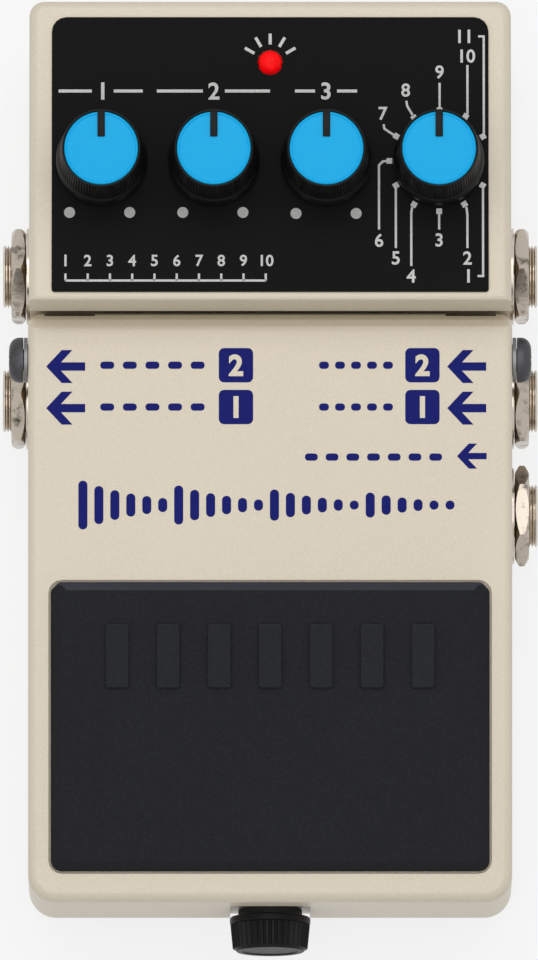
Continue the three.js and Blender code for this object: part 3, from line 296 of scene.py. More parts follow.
def pearl_paint(name, colour):
    """Pearl paint on a casting: bright flakes in a warm base under a clear coat."""
    body = linear(colour)
    look = Finish(name, Metallic=0.1, Coat_Roughness=0.16, IOR=1.5, Specular_IOR_Level=0.28)
    flakes = look.cells(5200)
    fine = look.noise(8200, 1)
    broad = look.noise(55)
    base = look.blend(fine.between(0.36, 0.66), toned(body, 0.93), toned(body, 1.07))
    look.paint(Base_Color=look.blend(broad.between(0.35, 0.65) * 0.25, base, body),
               Roughness=0.4 + flakes.between(0.2, 0.6) * 0.08,
               Coat_Weight=0.14 + broad.between(0.4, 0.7) * 0.08)
    look.grain(fine * 0.5 + look.noise(1300) * 0.4, 0.08, DEEP_GRAIN)
    return look.material


def plain_print(name, colour, roughness=0.42):
    """Screen-printed ink, a little uneven."""
    look = Finish(name, Specular_IOR_Level=0.12)
    ink = linear(colour)
    uneven = look.noise(4200)
    look.paint(Base_Color=look.blend(uneven.between(0.4, 0.62), toned(ink, 0.86), ink),
               Roughness=roughness + uneven * 0.1)
    look.grain(uneven, 0.12, FINE_GRAIN)
    return look.material


def label_sheet(colour):
    """Black printed sheet with a faint brushed line across it."""
    look = Finish("label_sheet", Specular_IOR_Level=0.06)
    lines = look.noise(1, where=look.stretched(120, 2600, 120))
    dark = linear(tuple(c * 0.9 for c in colour))
    look.paint(Base_Color=look.blend(lines.between(0.3, 0.7), dark, linear(colour)),
               Roughness=0.46 + lines * 0.08)
    look.grain(lines, 0.08, FINE_GRAIN)
    return look.material


def moulded(name, colour, roughness=0.5, grain=0.25, **constants):
    """Moulded plastic with a fine even grain."""
    look = Finish(name, **constants)
    tone = linear(colour)
    fine = look.noise(2600)
    broad = look.noise(90)
    look.paint(Base_Color=look.blend(broad.between(0.35, 0.75) * 0.5, tone, toned(tone, 1.18, 0.004)),
               Roughness=roughness + (fine - 0.5) * 0.16)
    look.grain(fine, grain, EVEN_GRAIN)
    return look.material


def cap_plastic(colour):
    """Sky blue satin plastic with a fine speck."""
    look = Finish("cap_plastic", Coat_Roughness=0.3, Specular_IOR_Level=0.18)
    speck = look.noise(6200, 1)
    tone = linear(colour)
    look.paint(Base_Color=look.blend(speck.between(0.42, 0.6), toned(tone, 0.93), tone),
               Roughness=0.5 + (speck - 0.5) * 0.12,
               Coat_Weight=0.04 + look.noise(160, 1) * 0.04)
    look.grain(speck, 0.1, FINE_GRAIN)
    return look.material


def pad_rubber(name, colour, scale=2400):
    """Moulded rubber with a close pebble grain and a light bloom."""
    look = Finish(name, IOR=1.45, Specular_IOR_Level=0.25)
    pebbles = look.cells(scale)
    bloom = look.noise(70, 3)
    tone = linear(colour)
    look.paint(Base_Color=look.blend(bloom.between(0.42, 0.8) * 0.45, tone, toned(tone, 1.3)),
               Roughness=0.66 + pebbles.between(0.1, 0.6) * 0.1)
    look.grain(pebbles, 0.3, EVEN_GRAIN)
    return look.material


def metal(name, colour, roughness, brushed=0.0, spots=0.25, depth=0.55):
    """Plated or bare metal with fine scratches and a little tarnish."""
    look = Finish(name, Metallic=1.0)
    tone = linear(colour)
    tarnish = look.noise(480, 4, 0.62)
    scratches = look.noise(1, 3, where=look.stretched(900, 900, 6000))
    look.paint(Base_Color=look.blend(tarnish.between(0.5, 0.78) * spots * 2, tone, toned(tone, depth)),
               Roughness=roughness + tarnish.between(0.4, 0.8) * 0.14 + scratches * 0.08)
    look.grain(scratches + tarnish * 0.5, 0.1 + brushed, EVEN_GRAIN)
    return look.material


def red_lens(colour):
    """The lit dome of the indicator."""
    look = Finish("red_lens", Coat_Weight=0.05, Coat_Roughness=0.1, Roughness=0.4, Emission_Strength=0.3,
                  Specular_IOR_Level=0.1)
    tone = linear(colour)
    mix = look.blend(look.noise(1500, 1).between(0.3, 0.7), toned(tone, 0.8), tone)
    look.paint(Base_Color=mix, Emission_Color=mix)
    return look.material


def circuit_board():
    """Green solder mask over copper tracks, with pale pads."""
    look = Finish("circuit_board", Coat_Roughness=0.2)
    tracks = look.node("ShaderNodeTexBrick", {}, look.place, Scale=190.0, Mortar_Size=0.035, output="Fac")
    base = look.blend(tracks, linear(BOARD_GREEN), linear(TRACK_GREEN))
    look.paint(Base_Color=look.blend(1 - look.cells(420).between(0.1, 0.14), base, linear(SOLDER)),
               Roughness=0.34 + look.noise(800) * 0.12,
               Coat_Weight=0.3 * tracks)
    look.grain(tracks, 0.2, DEEP_GRAIN)
    return look.material


def battery_sleeve():
    """A plain two-tone battery jacket, bare at its terminal end."""
    look = Finish("battery_sleeve", Coat_Roughness=0.15)
    end = look.along(*SLEEVE_END)
    jacket = look.blend(look.along(*SLEEVE_BAND), linear(SLEEVE_DARK), linear(SLEEVE_COPPER))
    scuffs = look.noise(700, 4, 0.6)
    look.paint(Base_Color=look.blend(end, jacket, linear(SLEEVE_STEEL)),
               Metallic=0.55 + end * 0.4,
               Roughness=0.3 + scuffs * 0.18,
               Coat_Weight=0.4 * (1 - end))
    look.grain(scuffs, 0.1, EVEN_GRAIN)
    return look.material


def striped_ribbon():
    """Grey flat cable with a groove between its wires and one red edge."""
    look = Finish("striped_ribbon")
    across = look.node("ShaderNodeSeparateXYZ", {}, look.place, output="X")
    wave = across.math("SINE", across * (TAU / (RIBBON_PITCH * MM)))
    look.paint(Base_Color=look.blend(1 - look.along(*RIBBON_EDGE), linear(RIBBON_GREY), linear(RIBBON_RED)),
               Roughness=0.5 + look.noise(900) * 0.15)
    look.grain(wave, 0.5, WIRE_GROOVE)
    return look.material


FINISHES = {}


def make_finishes(tones):
    """All finishes by their names, with the user's colours."""
    FINISHES.update(
        pearl=pearl_paint("pearl_paint", tones.pearl),
        navy=plain_print("navy_print", tones.navy, 0.36),
        number=pearl_paint("number_ground", tones.pearl),
        grey=plain_print("grey_print", tones.panel_print),
        dot=plain_print("dot_print", DOT_GREY),
        label=label_sheet(tones.label),
        cap=cap_plastic(tones.cap),
        knob=moulded("knob_plastic", tones.knob, 0.42, 0.3, Specular_IOR_Level=0.15),
        pointer=moulded("pointer_plastic", POINTER_BLACK, 0.36, 0.1, Specular_IOR_Level=0.12),
        black=moulded("black_plastic", PLASTIC_BLACK, Specular_IOR_Level=0.25),
        nylon=moulded("white_nylon", NYLON_WHITE, 0.45),
        pad=pad_rubber("pad_rubber", tones.pad),
        # A lighter rubber for the rim's rear-facing faces: a painted highlight of the light from behind
        rim=pad_rubber("rubber_painted_highlight", tuple(c * RIM_HIGHLIGHT for c in tones.pad)),
        # A lighter rubber for the raised bars: a painted highlight of the light they catch
        raised=pad_rubber("bar_rubber_painted_highlight", tuple(c * BAR_HIGHLIGHT for c in tones.pad)),
        mat=pad_rubber("mat_rubber", MAT_BLACK, 900),
        boot=pad_rubber("boot_rubber", BOOT_BLACK, 1800),
        nickel=metal("nickel_plate", NICKEL, 0.13),
        # The nuts' nickel: its deep dark blotches are partly tarnish and partly a painted reflection of dark
        # surroundings mirrored in the facets
        worn=metal("worn_nickel", NUT_NICKEL, 0.14, 0.3, spots=0.62, depth=0.1),
        zinc=metal("zinc_plate", ZINC, 0.34),
        blackened=metal("blackened_steel", BLACKENED, 0.42, 0.3, spots=0.5),
        washer=metal("washer_steel", STEEL, 0.4),
        lens=red_lens(tones.lens),
        board=circuit_board(),
        battery=battery_sleeve(),
        ribbon=striped_ribbon(),
        red=moulded("red_wire", WIRE_RED, 0.4),
        dark=moulded("black_wire", WIRE_BLACK, 0.4),
    )


# Mesh helpers


def scaled(matrix):
    """A placing matrix in millimetres as one in metres."""
    result = matrix.copy()
    result.translation = result.translation * MM
    return result


ON_TREADLE = Matrix.Translation(HINGE / MM) @ Matrix.Rotation(SLOPE, 4, "X")


@contextmanager
def opened(mesh, source=None):
    """A form that starts from a mesh, its source if one is given, and is written to the mesh at the end."""
    form = bmesh.new()
    form.from_mesh(source or mesh)
    yield form
    form.to_mesh(mesh)
    form.free()


def mesh_of(name, points, faces, place=Matrix()):
    """A mesh from points in millimetres, its faces turned outwards."""
    mesh = bpy.data.meshes.new(name)
    with opened(mesh) as form:
        made = [form.verts.new(Vector(p) * MM) for p in points]
        for face in faces:
            form.faces.new([made[i] for i in face])
        bmesh.ops.recalc_face_normals(form, faces=form.faces)
        form.transform(scaled(place))
    return mesh


def turned(name, profile, sides=TURN_SIDES, place=Matrix()):
    """A piece turned about Z from a profile of (radius, height): closed on the axis, or else a ring."""
    points = []
    rows = []
    for radius, height in profile:
        if radius == 0:
            rows.append([len(points)])
            points.append((0, 0, height))
        else:
            rows.append(list(range(len(points), len(points) + sides)))
            for i in range(sides):
                turn = TAU * i / sides
                points.append((radius * math.cos(turn), radius * math.sin(turn), height))
    follow = rows[1:] + rows[:1] if profile[0][0] else rows[1:]
    faces = []
    for low, high in zip(rows, follow):
        for i in range(sides):
            after = (i + 1) % sides
            spots = (low[i % len(low)], low[after % len(low)], high[after % len(high)], high[i % len(high)])
            corners = list(dict.fromkeys(spots))
            if len(corners) > 2:
                faces.append(corners)
    return mesh_of(name, points, faces, place)


def lofted(name, rings):
    """A closed mesh through rings of as many points each."""
    count = len(rings[0])
    last = count * (len(rings) - 1)
    faces = [tuple(reversed(range(count))), tuple(range(last, last + count))]
    for low in range(0, last, count):
        for i in range(count):
            after = (i + 1) % count
            faces.append((low + i, low + after, low + count + after, low + count + i))
    return mesh_of(name, [point for ring in rings for point in ring], faces)


def prism(name, outline, bottom, top):
    """An upright block from a plan outline."""
    return lofted(name, [[(x, y, z) for x, y in outline] for z in (bottom, top)])


def arc(x, y, radius, start, steps, sweep=QUARTER):
    """Points on an arc from an angle, both ends counted."""
    turns = [start + sweep * i / steps for i in range(steps + 1)]
    return [(x + radius * math.cos(turn), y + radius * math.sin(turn)) for turn in turns]


def circle(radius, sides=CIRCLE_SIDES, centre=(0, 0)):
    return arc(*centre, radius, 0, sides, TAU)[:-1]


def rounded_rectangle(width, length, radius, steps=ARC_STEPS, centre=(0, 0)):
    """The plan outline of a rectangle with rounded corners."""
    points = []
    for corner, (across, along) in enumerate(((1, 1), (-1, 1), (-1, -1), (1, -1))):
        x = centre[0] + across * (width / 2 - radius)
        y = centre[1] + along * (length / 2 - radius)
        points += arc(x, y, radius, QUARTER * corner, steps)
    return points


def joined(name, meshes, place=Matrix()):
    """Several meshes as one, with their materials kept in order."""
    result = bpy.data.meshes.new(name)
    slots = []
    with opened(result) as form:
        for mesh in meshes:
            start = len(form.faces)
            form.from_mesh(mesh)
            form.faces.ensure_lookup_table()
            used = list(mesh.materials)
            slots += [look for look in used if look not in slots]
            for face in form.faces[start:]:
                face.material_index = slots.index(used[min(face.material_index, len(used) - 1)])
            bpy.data.meshes.remove(mesh)
        form.transform(scaled(place))
    for look in slots:
        result.materials.append(look)
    return result


def painted(mesh, finish):
    """The mesh with one finish all over."""
    mesh.materials.clear()
    mesh.materials.append(FINISHES[finish])
    return mesh


def linked(name, mesh):
    piece = bpy.data.objects.new(name, mesh)
    bpy.context.scene.collection.objects.link(piece)
    return piece


def evaluated(piece):
    """A new mesh of a piece that is then taken away, with its data."""
    bpy.context.view_layer.update()
    view = piece.evaluated_get(bpy.context.evaluated_depsgraph_get())
    mesh = bpy.data.meshes.new_from_object(view)
    bpy.data.batch_remove((piece, piece.data))
    return mesh


def modified(mesh, kind, sockets=None, **settings):
    """The mesh after one modifier, with its settings and the values of its sockets."""
    piece = linked("work", mesh)
    step = piece.modifiers.new("step", kind)
    for key, value in settings.items():
        setattr(step, key, value)
    for key, value in (sockets or {}).items():
        step[key] = value
    return evaluated(piece)


def softened(mesh, width, segments=EDGE_SEGMENTS, angle=EDGE_ANGLE):
    """The mesh with its edges rounded."""
    return modified(mesh, "BEVEL", width=width * MM, segments=segments, limit_method="ANGLE",
                    angle_limit=math.radians(angle), miter_outer="MITER_ARC")


def carved(mesh, tools, operation="DIFFERENCE"):
    """The mesh with other meshes cut out of it, or kept only inside them."""
    for tool in tools:
        cutter = linked("cutter", tool)
        mesh = modified(mesh, "BOOLEAN", operation=operation, solver="EXACT", object=cutter)
        bpy.data.batch_remove((cutter, tool))
    return mesh


def shaded(name, mesh, body, angle=SHARP_ANGLE, weighted=False):
    """A smooth-shaded piece that rides on a body. Weighting keeps its flats flat."""
    mesh.shade_smooth()
    mesh.set_sharp_from_angle(angle=math.radians(angle))
    if weighted:
        mesh = modified(mesh, "WEIGHTED_NORMAL", keep_sharp=True, weight=NORMAL_WEIGHT)
    piece = linked(name, mesh)
    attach(piece, body)
    return piece


def body_of(node):
    bodies = frame["record"]["behaviour"]["bodies"]
    return next(body for body, nodes in bodies.items() if node in nodes)


def piece_of(name, mesh, node, angle=SHARP_ANGLE, weighted=True, body=None):
    """A piece that stands for a CAD node. It rides on the node's body if no other is given."""
    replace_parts(shaded(name, mesh, body or body_of(node), angle, weighted), node)


def merged(node):
    """A copy of a CAD node's mesh with its triangles merged into flat faces."""
    mesh = bpy.data.meshes.new(node + "_copy")
    with opened(mesh, frame["nodes"][node].data) as form:
        bmesh.ops.remove_doubles(form, verts=form.verts, dist=MERGE * MM)
        bmesh.ops.dissolve_limit(form, angle_limit=math.radians(FLAT_ANGLE), verts=form.verts,
                                 edges=form.edges)
    return mesh


def rounded(mesh, radius, place):
    """The mesh with the coarse arcs of its two upright front corners divided into finer ones."""
    with opened(mesh) as form:
        form.transform(scaled(place.inverted()))
        bmesh.ops.scale(form, vec=(1 / MM,) * 3, verts=form.verts)
        half = max(v.co.x for v in form.verts)
        front = min(v.co.y for v in form.verts)
        for side in (-1, 1):
            middle = Vector((side * (half - radius), front + radius))

            def polar(point):
                offset = point.xy - middle
                return offset.length, math.atan2(-offset.y, side * offset.x)

            chords = []
            for edge in form.edges:
                (one, low), (two, high) = (polar(v.co) for v in edge.verts)
                inside = min(low, high) > -CORNER_SLACK and max(low, high) < QUARTER + CORNER_SLACK
                like = abs(one - two) < MERGE and abs(abs(high - low) - CORNER_STEP) < CORNER_SLACK
                if inside and like and one <= radius + MERGE:
                    chords.append(edge)
            for vert in bmesh.ops.subdivide_edges(form, edges=chords, cuts=CORNER_CUTS)["geom_inner"]:
                if isinstance(vert, bmesh.types.BMVert):
                    turn = polar(vert.co)[1]
                    middle_turn = (math.floor(turn / CORNER_STEP) + 0.5) * CORNER_STEP
                    full = math.cos(turn - middle_turn) / math.cos(CORNER_STEP / 2)
                    vert.co.xy = middle + (vert.co.xy - middle) * full
        bmesh.ops.scale(form, vec=(MM,) * 3, verts=form.verts)
        form.transform(scaled(place))
    return mesh


def dressed(node, finish, name=None, bevel=0, angle=SHARP_ANGLE):
    """A copy of a CAD node in a finish, in the node's place."""
    mesh = painted(merged(node), finish)
    if bevel:
        mesh = softened(mesh, bevel)
    piece_of(name or node + "_form", mesh, node, angle)


# Printed marks: thin closed meshes on a face, placed by a plan in millimetres

PRINT_LIFT = 0.02
PRINT_SINK = 0.03
RAISED_LIFT = 0.03
FIGURE_STEPS = 6
FIGURE_WEIGHT = 0.02
BOX_FIGURE_WEIGHT = 0.04


class Sheet:
    """Marks printed on one flat face. Places are given in the plan of the face."""

    def __init__(self, name, place, face):
        self.name = name
        self.place = place
        self.face = face
        self.marks = {}

    def add(self, finish, outline, lift=PRINT_LIFT):
        mesh = prism("mark", outline, self.face - PRINT_SINK, self.face + lift)
        self.marks.setdefault(finish, []).append(painted(mesh, finish))

    def line(self, finish, points, width):
        """A path of straight strokes with mitred joints, as one closed outline."""
        half = width / 2
        spots = [Vector(p) for p in points]
        ways = [(b - a).normalized() for a, b in zip(spots, spots[1:])]
        left = []
        right = []
        for index, spot in enumerate(spots):
            before = ways[max(index - 1, 0)]
            after = ways[min(index, len(ways) - 1)]
            across = Vector((-before.y - after.y, before.x + after.x)) / (1 + before.dot(after))
            left.append(spot + across * half)
            right.append(spot - across * half)
        self.add(finish, [tuple(p) for p in right + left[::-1]])

    def tick(self, finish, x, y, size, turn):
        self.add(finish, arc(x, y, size * math.sqrt(0.5), turn + QUARTER / 2, 3, 3 * QUARTER), RAISED_LIFT)

    def number(self, finish, text, x, y, height, weight=FIGURE_WEIGHT, lift=PRINT_LIFT):
        """Figures centred on a place, of a given height in millimetres."""
        upside_down = text == "9"
        curve = bpy.data.curves.new("figures", "FONT")
        curve.body = "6" if upside_down else text
        curve.offset = weight
        curve.align_x = "CENTER"
        curve.extrude = 0.5
        curve.resolution_u = FIGURE_STEPS
        mesh = evaluated(linked("figures", curve))
        if upside_down:
            mesh.transform(Matrix.Rotation(math.pi, 4, "Z"))
        rows = [v.co.y for v in mesh.vertices]
        grow = height / (max(rows) - min(rows))
        middle = (max(rows) + min(rows)) / 2
        thick = PRINT_SINK + lift
        for v in mesh.vertices:
            deep = self.face - PRINT_SINK + (v.co.z + 0.5) * thick
            v.co = Vector((x + v.co.x * grow, y + (v.co.y - middle) * grow, deep)) * MM
        with opened(mesh) as form:
            bmesh.ops.remove_doubles(form, verts=form.verts, dist=MERGE * MM)
            bmesh.ops.recalc_face_normals(form, faces=form.faces)
        self.marks.setdefault(finish, []).append(painted(mesh, finish))

    def finish(self, body):
        for ink, meshes in self.marks.items():
            shaded(self.name + "_" + ink, joined("marks", meshes, self.place), body)


# Geometry Nodes: upright ribs round an axis

RIB_INPUTS = {
    "Ribs": "Int",
    "Rib Radius": "Float",
    "Rib Length": "Float",
    "Distance": "Float",
    "Height": "Float",
    "Lean": "Float",
    "Material": "Material",
}
RIB_SIDES = 4


def rib_tree():
    """Ribs of square section set on edge, spaced evenly round Z and leaning with a cone."""
    group = bpy.data.node_groups.new("ribs round an axis", "GeometryNodeTree")
    sockets = {}
    for name, kind in RIB_INPUTS.items():
        made = group.interface.new_socket(name=name, in_out="INPUT", socket_type="NodeSocket" + kind)
        sockets[name] = made.identifier
    group.interface.new_socket(name="Geometry", in_out="OUTPUT", socket_type="NodeSocketGeometry")
    tree = Tree(group)
    inputs = tree.nodes.new("NodeGroupInput").outputs
    given = {name: Wire(tree, inputs[name]) for name in RIB_INPUTS}
    rib = tree.node("GeometryNodeMeshCylinder", {}, Vertices=RIB_SIDES, Radius=given["Rib Radius"],
                    Depth=given["Rib Length"])
    offset = tree.node("ShaderNodeCombineXYZ", {}, X=given["Distance"], Z=given["Height"])
    lean = tree.node("ShaderNodeCombineXYZ", {}, Y=given["Lean"])
    moved = tree.node("GeometryNodeTransform", {}, Geometry=rib, Translation=offset, Rotation=lean)
    spots = tree.node("GeometryNodeMeshLine", {}, Count=given["Ribs"], Offset=(0, 0, 0))
    step = given["Ribs"].math("DIVIDE", TAU, given["Ribs"])
    spin = tree.node("ShaderNodeCombineXYZ", {}, Z=tree.node("GeometryNodeInputIndex", {}) * step)
    placed = tree.node("GeometryNodeInstanceOnPoints", {}, Points=spots, Instance=moved, Rotation=spin)
    real = tree.node("GeometryNodeRealizeInstances", {}, Geometry=placed)
    dressed_ribs = tree.node("GeometryNodeSetMaterial", {}, Geometry=real, Material=given["Material"])
    tree.connect(dressed_ribs, tree.nodes.new("NodeGroupOutput").inputs[0])
    return group, sockets


def ribs(count, finish, low, high, bottom, top, size):
    """Ribs from a lower radius to an upper one, between two heights."""
    group, sockets = rib_tree()
    values = {
        "Ribs": count,
        "Rib Radius": size * MM,
        "Rib Length": math.hypot(top - bottom, low - high) * MM,
        "Distance": (low + high) / 2 * MM,
        "Height": (bottom + top) / 2 * MM,
        "Lean": math.atan2(high - low, top - bottom),
        "Material": FINISHES[finish],
    }
    inputs = {sockets[name]: value for name, value in values.items()}
    mesh = modified(bpy.data.meshes.new("ribs"), "NODES", inputs, node_group=group)
    bpy.data.node_groups.remove(group)
    return painted(mesh, finish)


# Settings that a user would change


def tone(label, where, default, kind="COLOR_GAMMA"):
    """A colour that a user can change."""
    return bpy.props.FloatVectorProperty(name=label, description="Colour of " + where, subtype=kind,
                                         size=3, default=default, min=0, max=1)


def number(label, what, default, least):
    """A count that a user can change."""
    return bpy.props.IntProperty(name=label, description=what, default=default, min=least)


def power(label, where, default):
    """A lamp's power that a user can change."""
    return bpy.props.FloatProperty(name=label, description="Power of " + where, default=default, unit="POWER")


THREAD_PITCH = 0.42
KNOB_RIB_COUNT = 84
SCREW_RIB_COUNT = 40
LEAST_RIBS = 12
SPRING_TURNS = 7
LEAST_TURNS = 3
FLOOR_COLOUR = (0.8, 0.8, 0.8)
KEY_POWER = 2.9
BACK_POWER = 2.6
FRONT_POWER = 0.8
STRIP_POWER = 0.35
SKY_STRENGTH = 0.5


class PedalFinishes(bpy.types.PropertyGroup):
    """Colours of the finishes and sizes of the small repeated details."""

    pearl: tone("Castings", "the painted base and treadle", PEARL)
    navy: tone("Treadle print", "the print on the treadle", NAVY)
    panel_print: tone("Panel print", "the print on the label", PRINT_GREY)
    label: tone("Label", "the panel's label sheet", LABEL_BLACK)
    cap: tone("Knob caps", "the caps on the knobs", CAP_BLUE)
    knob: tone("Knobs", "the knobs and the thumbscrew", KNOB_BLACK)
    pad: tone("Tread pad", "the rubber pad", PAD_BLACK)
    lens: tone("Indicator", "the indicator's lens", LENS_RED)
    knob_ribs: number("Knob ribs", "Ribs round each knob", KNOB_RIB_COUNT, LEAST_RIBS)
    screw_ribs: number("Thumbscrew ribs", "Ribs round the thumbscrew", SCREW_RIB_COUNT, LEAST_RIBS)
    spring_turns: number("Spring turns", "Turns of the return spring", SPRING_TURNS, LEAST_TURNS)
    thread_pitch: bpy.props.FloatProperty(name="Thread pitch", description="Pitch of the jack threads",
                                          default=THREAD_PITCH * MM, unit="LENGTH", precision=5)


class PedalStage(bpy.types.PropertyGroup):
    """The floor and the light."""

    floor_colour: tone("Floor", "the floor", FLOOR_COLOUR, "COLOR")
    key_power: power("Key light", "the large light above", KEY_POWER)
    back_power: power("Back light", "the wide light behind", BACK_POWER)
    front_power: power("Front light", "the light in front", FRONT_POWER)
    strip_power: power("Side lights", "each narrow light beside", STRIP_POWER)
    sky: bpy.props.FloatProperty(name="Sky light", description="Strength of the light from all round",
                                 default=SKY_STRENGTH, min=0)


class Step:
    """What every operator here does: it builds, then says that it has finished."""

    def execute(self, context):
        self.build(context.scene)
        return {"FINISHED"}


class PEDAL_OT_finishes(Step, bpy.types.Operator):
    """Make every finish of the pedal."""

    bl_idname = "pedal.finishes"
    bl_label = "Finishes"

    def build(self, scene):
        make_finishes(scene.pedal_finishes)


# The castings

FRONT_CORNER = 3.75
CORNER_STEP = math.radians(22.5)
CORNER_SLACK = math.radians(1.5)
CORNER_CUTS = 3


class PEDAL_OT_castings(Step, bpy.types.Operator):
    """Dress the base and treadle castings in pearl paint."""

    bl_idname = "pedal.castings"
    bl_label = "Castings"

    def build(self, scene):
        piece_of("base_shell", painted(merged("base_casting"), "pearl"), "base_casting")
        lean = Matrix()
        lean[1][2] = math.tan(SLOPE)
        lean[1][3] = -TREADLE_TOP * math.tan(SLOPE)
        treadle = rounded(merged("treadle_casting"), FRONT_CORNER, ON_TREADLE @ lean)
        piece_of("treadle_shell", painted(treadle, "pearl"), "treadle_casting")


# The tread pad

PAD_WIDTH = 60.24
PAD_LENGTH = 39.7
PAD_MIDDLE = -50.37
PAD_BOTTOM = 3.97
PAD_WAIST = 4.77
PAD_TOP = 5.97
PAD_BEVEL = 1.2
PAD_CHAMFER = 1.1
PAD_CORNER = 1.47
PAD_BARS = 7
BAR_WIDTH = 3.2
BAR_PITCH = 7
BAR_LENGTH = 8.7
BAR_TOP = -36.3
BAR_RISE = 0.5
BAR_GROOVE = 0.35
PAD_STEPS = 6
BAR_STEPS = 3
# Width, segments and least angle of the rounded edges
PAD_EDGE = (0.34, 4, 25)
BAR_EDGE = (0.16, 3, 50)
# Least and greatest share of the rear in the direction of a face that takes the painted highlight on the rim
HIGHLIGHT_LEAN = (0.56, 0.97)


class PEDAL_OT_pad(Step, bpy.types.Operator):
    """Make the rubber pad with its bevelled rim and plain raised bars."""

    bl_idname = "pedal.pad"
    bl_label = "Tread pad"

    def build(self, scene):
        rings = []
        for inset, z in ((0, PAD_BOTTOM), (0, PAD_WAIST), (PAD_BEVEL, PAD_TOP)):
            half = PAD_WIDTH / 2 - inset
            high = PAD_LENGTH / 2 - inset
            radius = max(PAD_CORNER - inset / 2, BAR_GROOVE)
            plan = [(half - PAD_CHAMFER, high), (PAD_CHAMFER - half, high), (-half, high - PAD_CHAMFER)]
            plan += arc(radius - half, radius - high, radius, 2 * QUARTER, PAD_STEPS)
            plan += arc(half - radius, radius - high, radius, 3 * QUARTER, PAD_STEPS)
            plan.append((half, high - PAD_CHAMFER))
            rings.append([(x, y, z) for x, y in plan])
        parts = [painted(softened(lofted("pad", rings), *PAD_EDGE), "pad")]
        for i in range(PAD_BARS):
            middle = ((i - (PAD_BARS - 1) / 2) * BAR_PITCH, BAR_TOP - BAR_LENGTH / 2 - PAD_MIDDLE)
            plan = rounded_rectangle(BAR_WIDTH, BAR_LENGTH, BAR_GROOVE, BAR_STEPS, middle)
            bar = prism("bar", plan, PAD_WAIST, PAD_TOP + BAR_RISE)
            # The bars take the lighter rubber, a painted highlight of the light they catch
            parts.append(painted(softened(bar, *BAR_EDGE), "raised"))
        mesh = joined("pad", parts, ON_TREADLE @ Matrix.Translation((0, PAD_MIDDLE, 0)))
        # The rim's faces that lean to the rear take the lighter rubber, a painted highlight of the light from
        # behind
        mesh.materials.append(FINISHES["rim"])
        rearward = ON_TREADLE.to_3x3() @ Vector((0, 1, 0))
        for face in mesh.polygons:
            if HIGHLIGHT_LEAN[0] < face.normal.dot(rearward) < HIGHLIGHT_LEAN[1]:
                face.material_index = len(mesh.materials) - 1
        piece_of("tread_pad", mesh, "treadle_pad")


# The label on the housing and its print, with places counted on a page and made millimetres by on_panel

PANEL_STEP = 0.13907
PANEL_ORIGIN = 63.134
PIXEL = 7.28
PIXEL_MIDDLE = 270.2


def on_panel(x, y):
    return ((x - PIXEL_MIDDLE) / PIXEL, PANEL_ORIGIN - PANEL_STEP * y)


DOT_RADIUS = 0.76
DOTS = ((70, 213), (130, 213), (183, 213), (243, 213), (296, 214), (356, 214))
MODE_TICKS = (
    (482.2, 186), (464, 204.7), (438.8, 211.8), (413.8, 205), (395.7, 186), (389.2, 161.5),
    (396.2, 136.8), (414, 118.5), (439.3, 110.8), (465.3, 117), (482.6, 137),
)
MODE_CENTRE = (439.2, 161.5)
MODE_LINES = (
    ((482.6, 189), (482.6, 276.5), (477, 276.5)),
    ((466, 207.5), (467, 215), (467, 248.5)),
    ((438.8, 214.5), (438.8, 230)),
    ((412, 207.5), (411, 213), (411, 266.5)),
    ((395.6, 189), (395.6, 248.5)),
    ((386.4, 161.5), (382.5, 162), (378.8, 165.8), (378.8, 230)),
    ((393.8, 135.6), (384.2, 129.3), (383.5, 124.8)),
    ((412.4, 115.6), (407, 106.5), (406.2, 101.3)),
    ((439.4, 108), (439.4, 83.3)),
    ((467.2, 114.6), (467.2, 65.5)),
    ((483.5, 134.4), (483.5, 36.8), (478, 36.8)),
)
MODE_NUMBERS = (
    (468, 276.5), (467, 258.5), (438.8, 240.5), (411, 276.5), (395.6, 258.5), (378.8, 240.8),
    (382.5, 114), (405.5, 90.6), (439.4, 72.5), (466, 56.5), (464, 36.8),
)
TICK_SIZE = 0.78
LINE_WIDTH = 0.3
NUMBER_HEIGHT = 1.86
KNOB_NUMBER_HEIGHT = 2.4
KNOB_NUMBERS = (("1", 103, 59, 143, 91.5), ("2", 214, 157, 270, 91.5), ("3", 326, 295, 357, 91.5))
NUMBER_CLEARANCE = 11
RULE_WIDTH = 0.42
RAY_INNER = 2.5
RAY_OUTER = 4.0
RAYS = 5
SCALE_LEFT = 66
SCALE_PITCH = 22.2
SCALE_NUMBERS = 10
SCALE_TOP = 261
SCALE_LINE = 281
SCALE_TICK = 7
SCALE_SHARE = 0.86


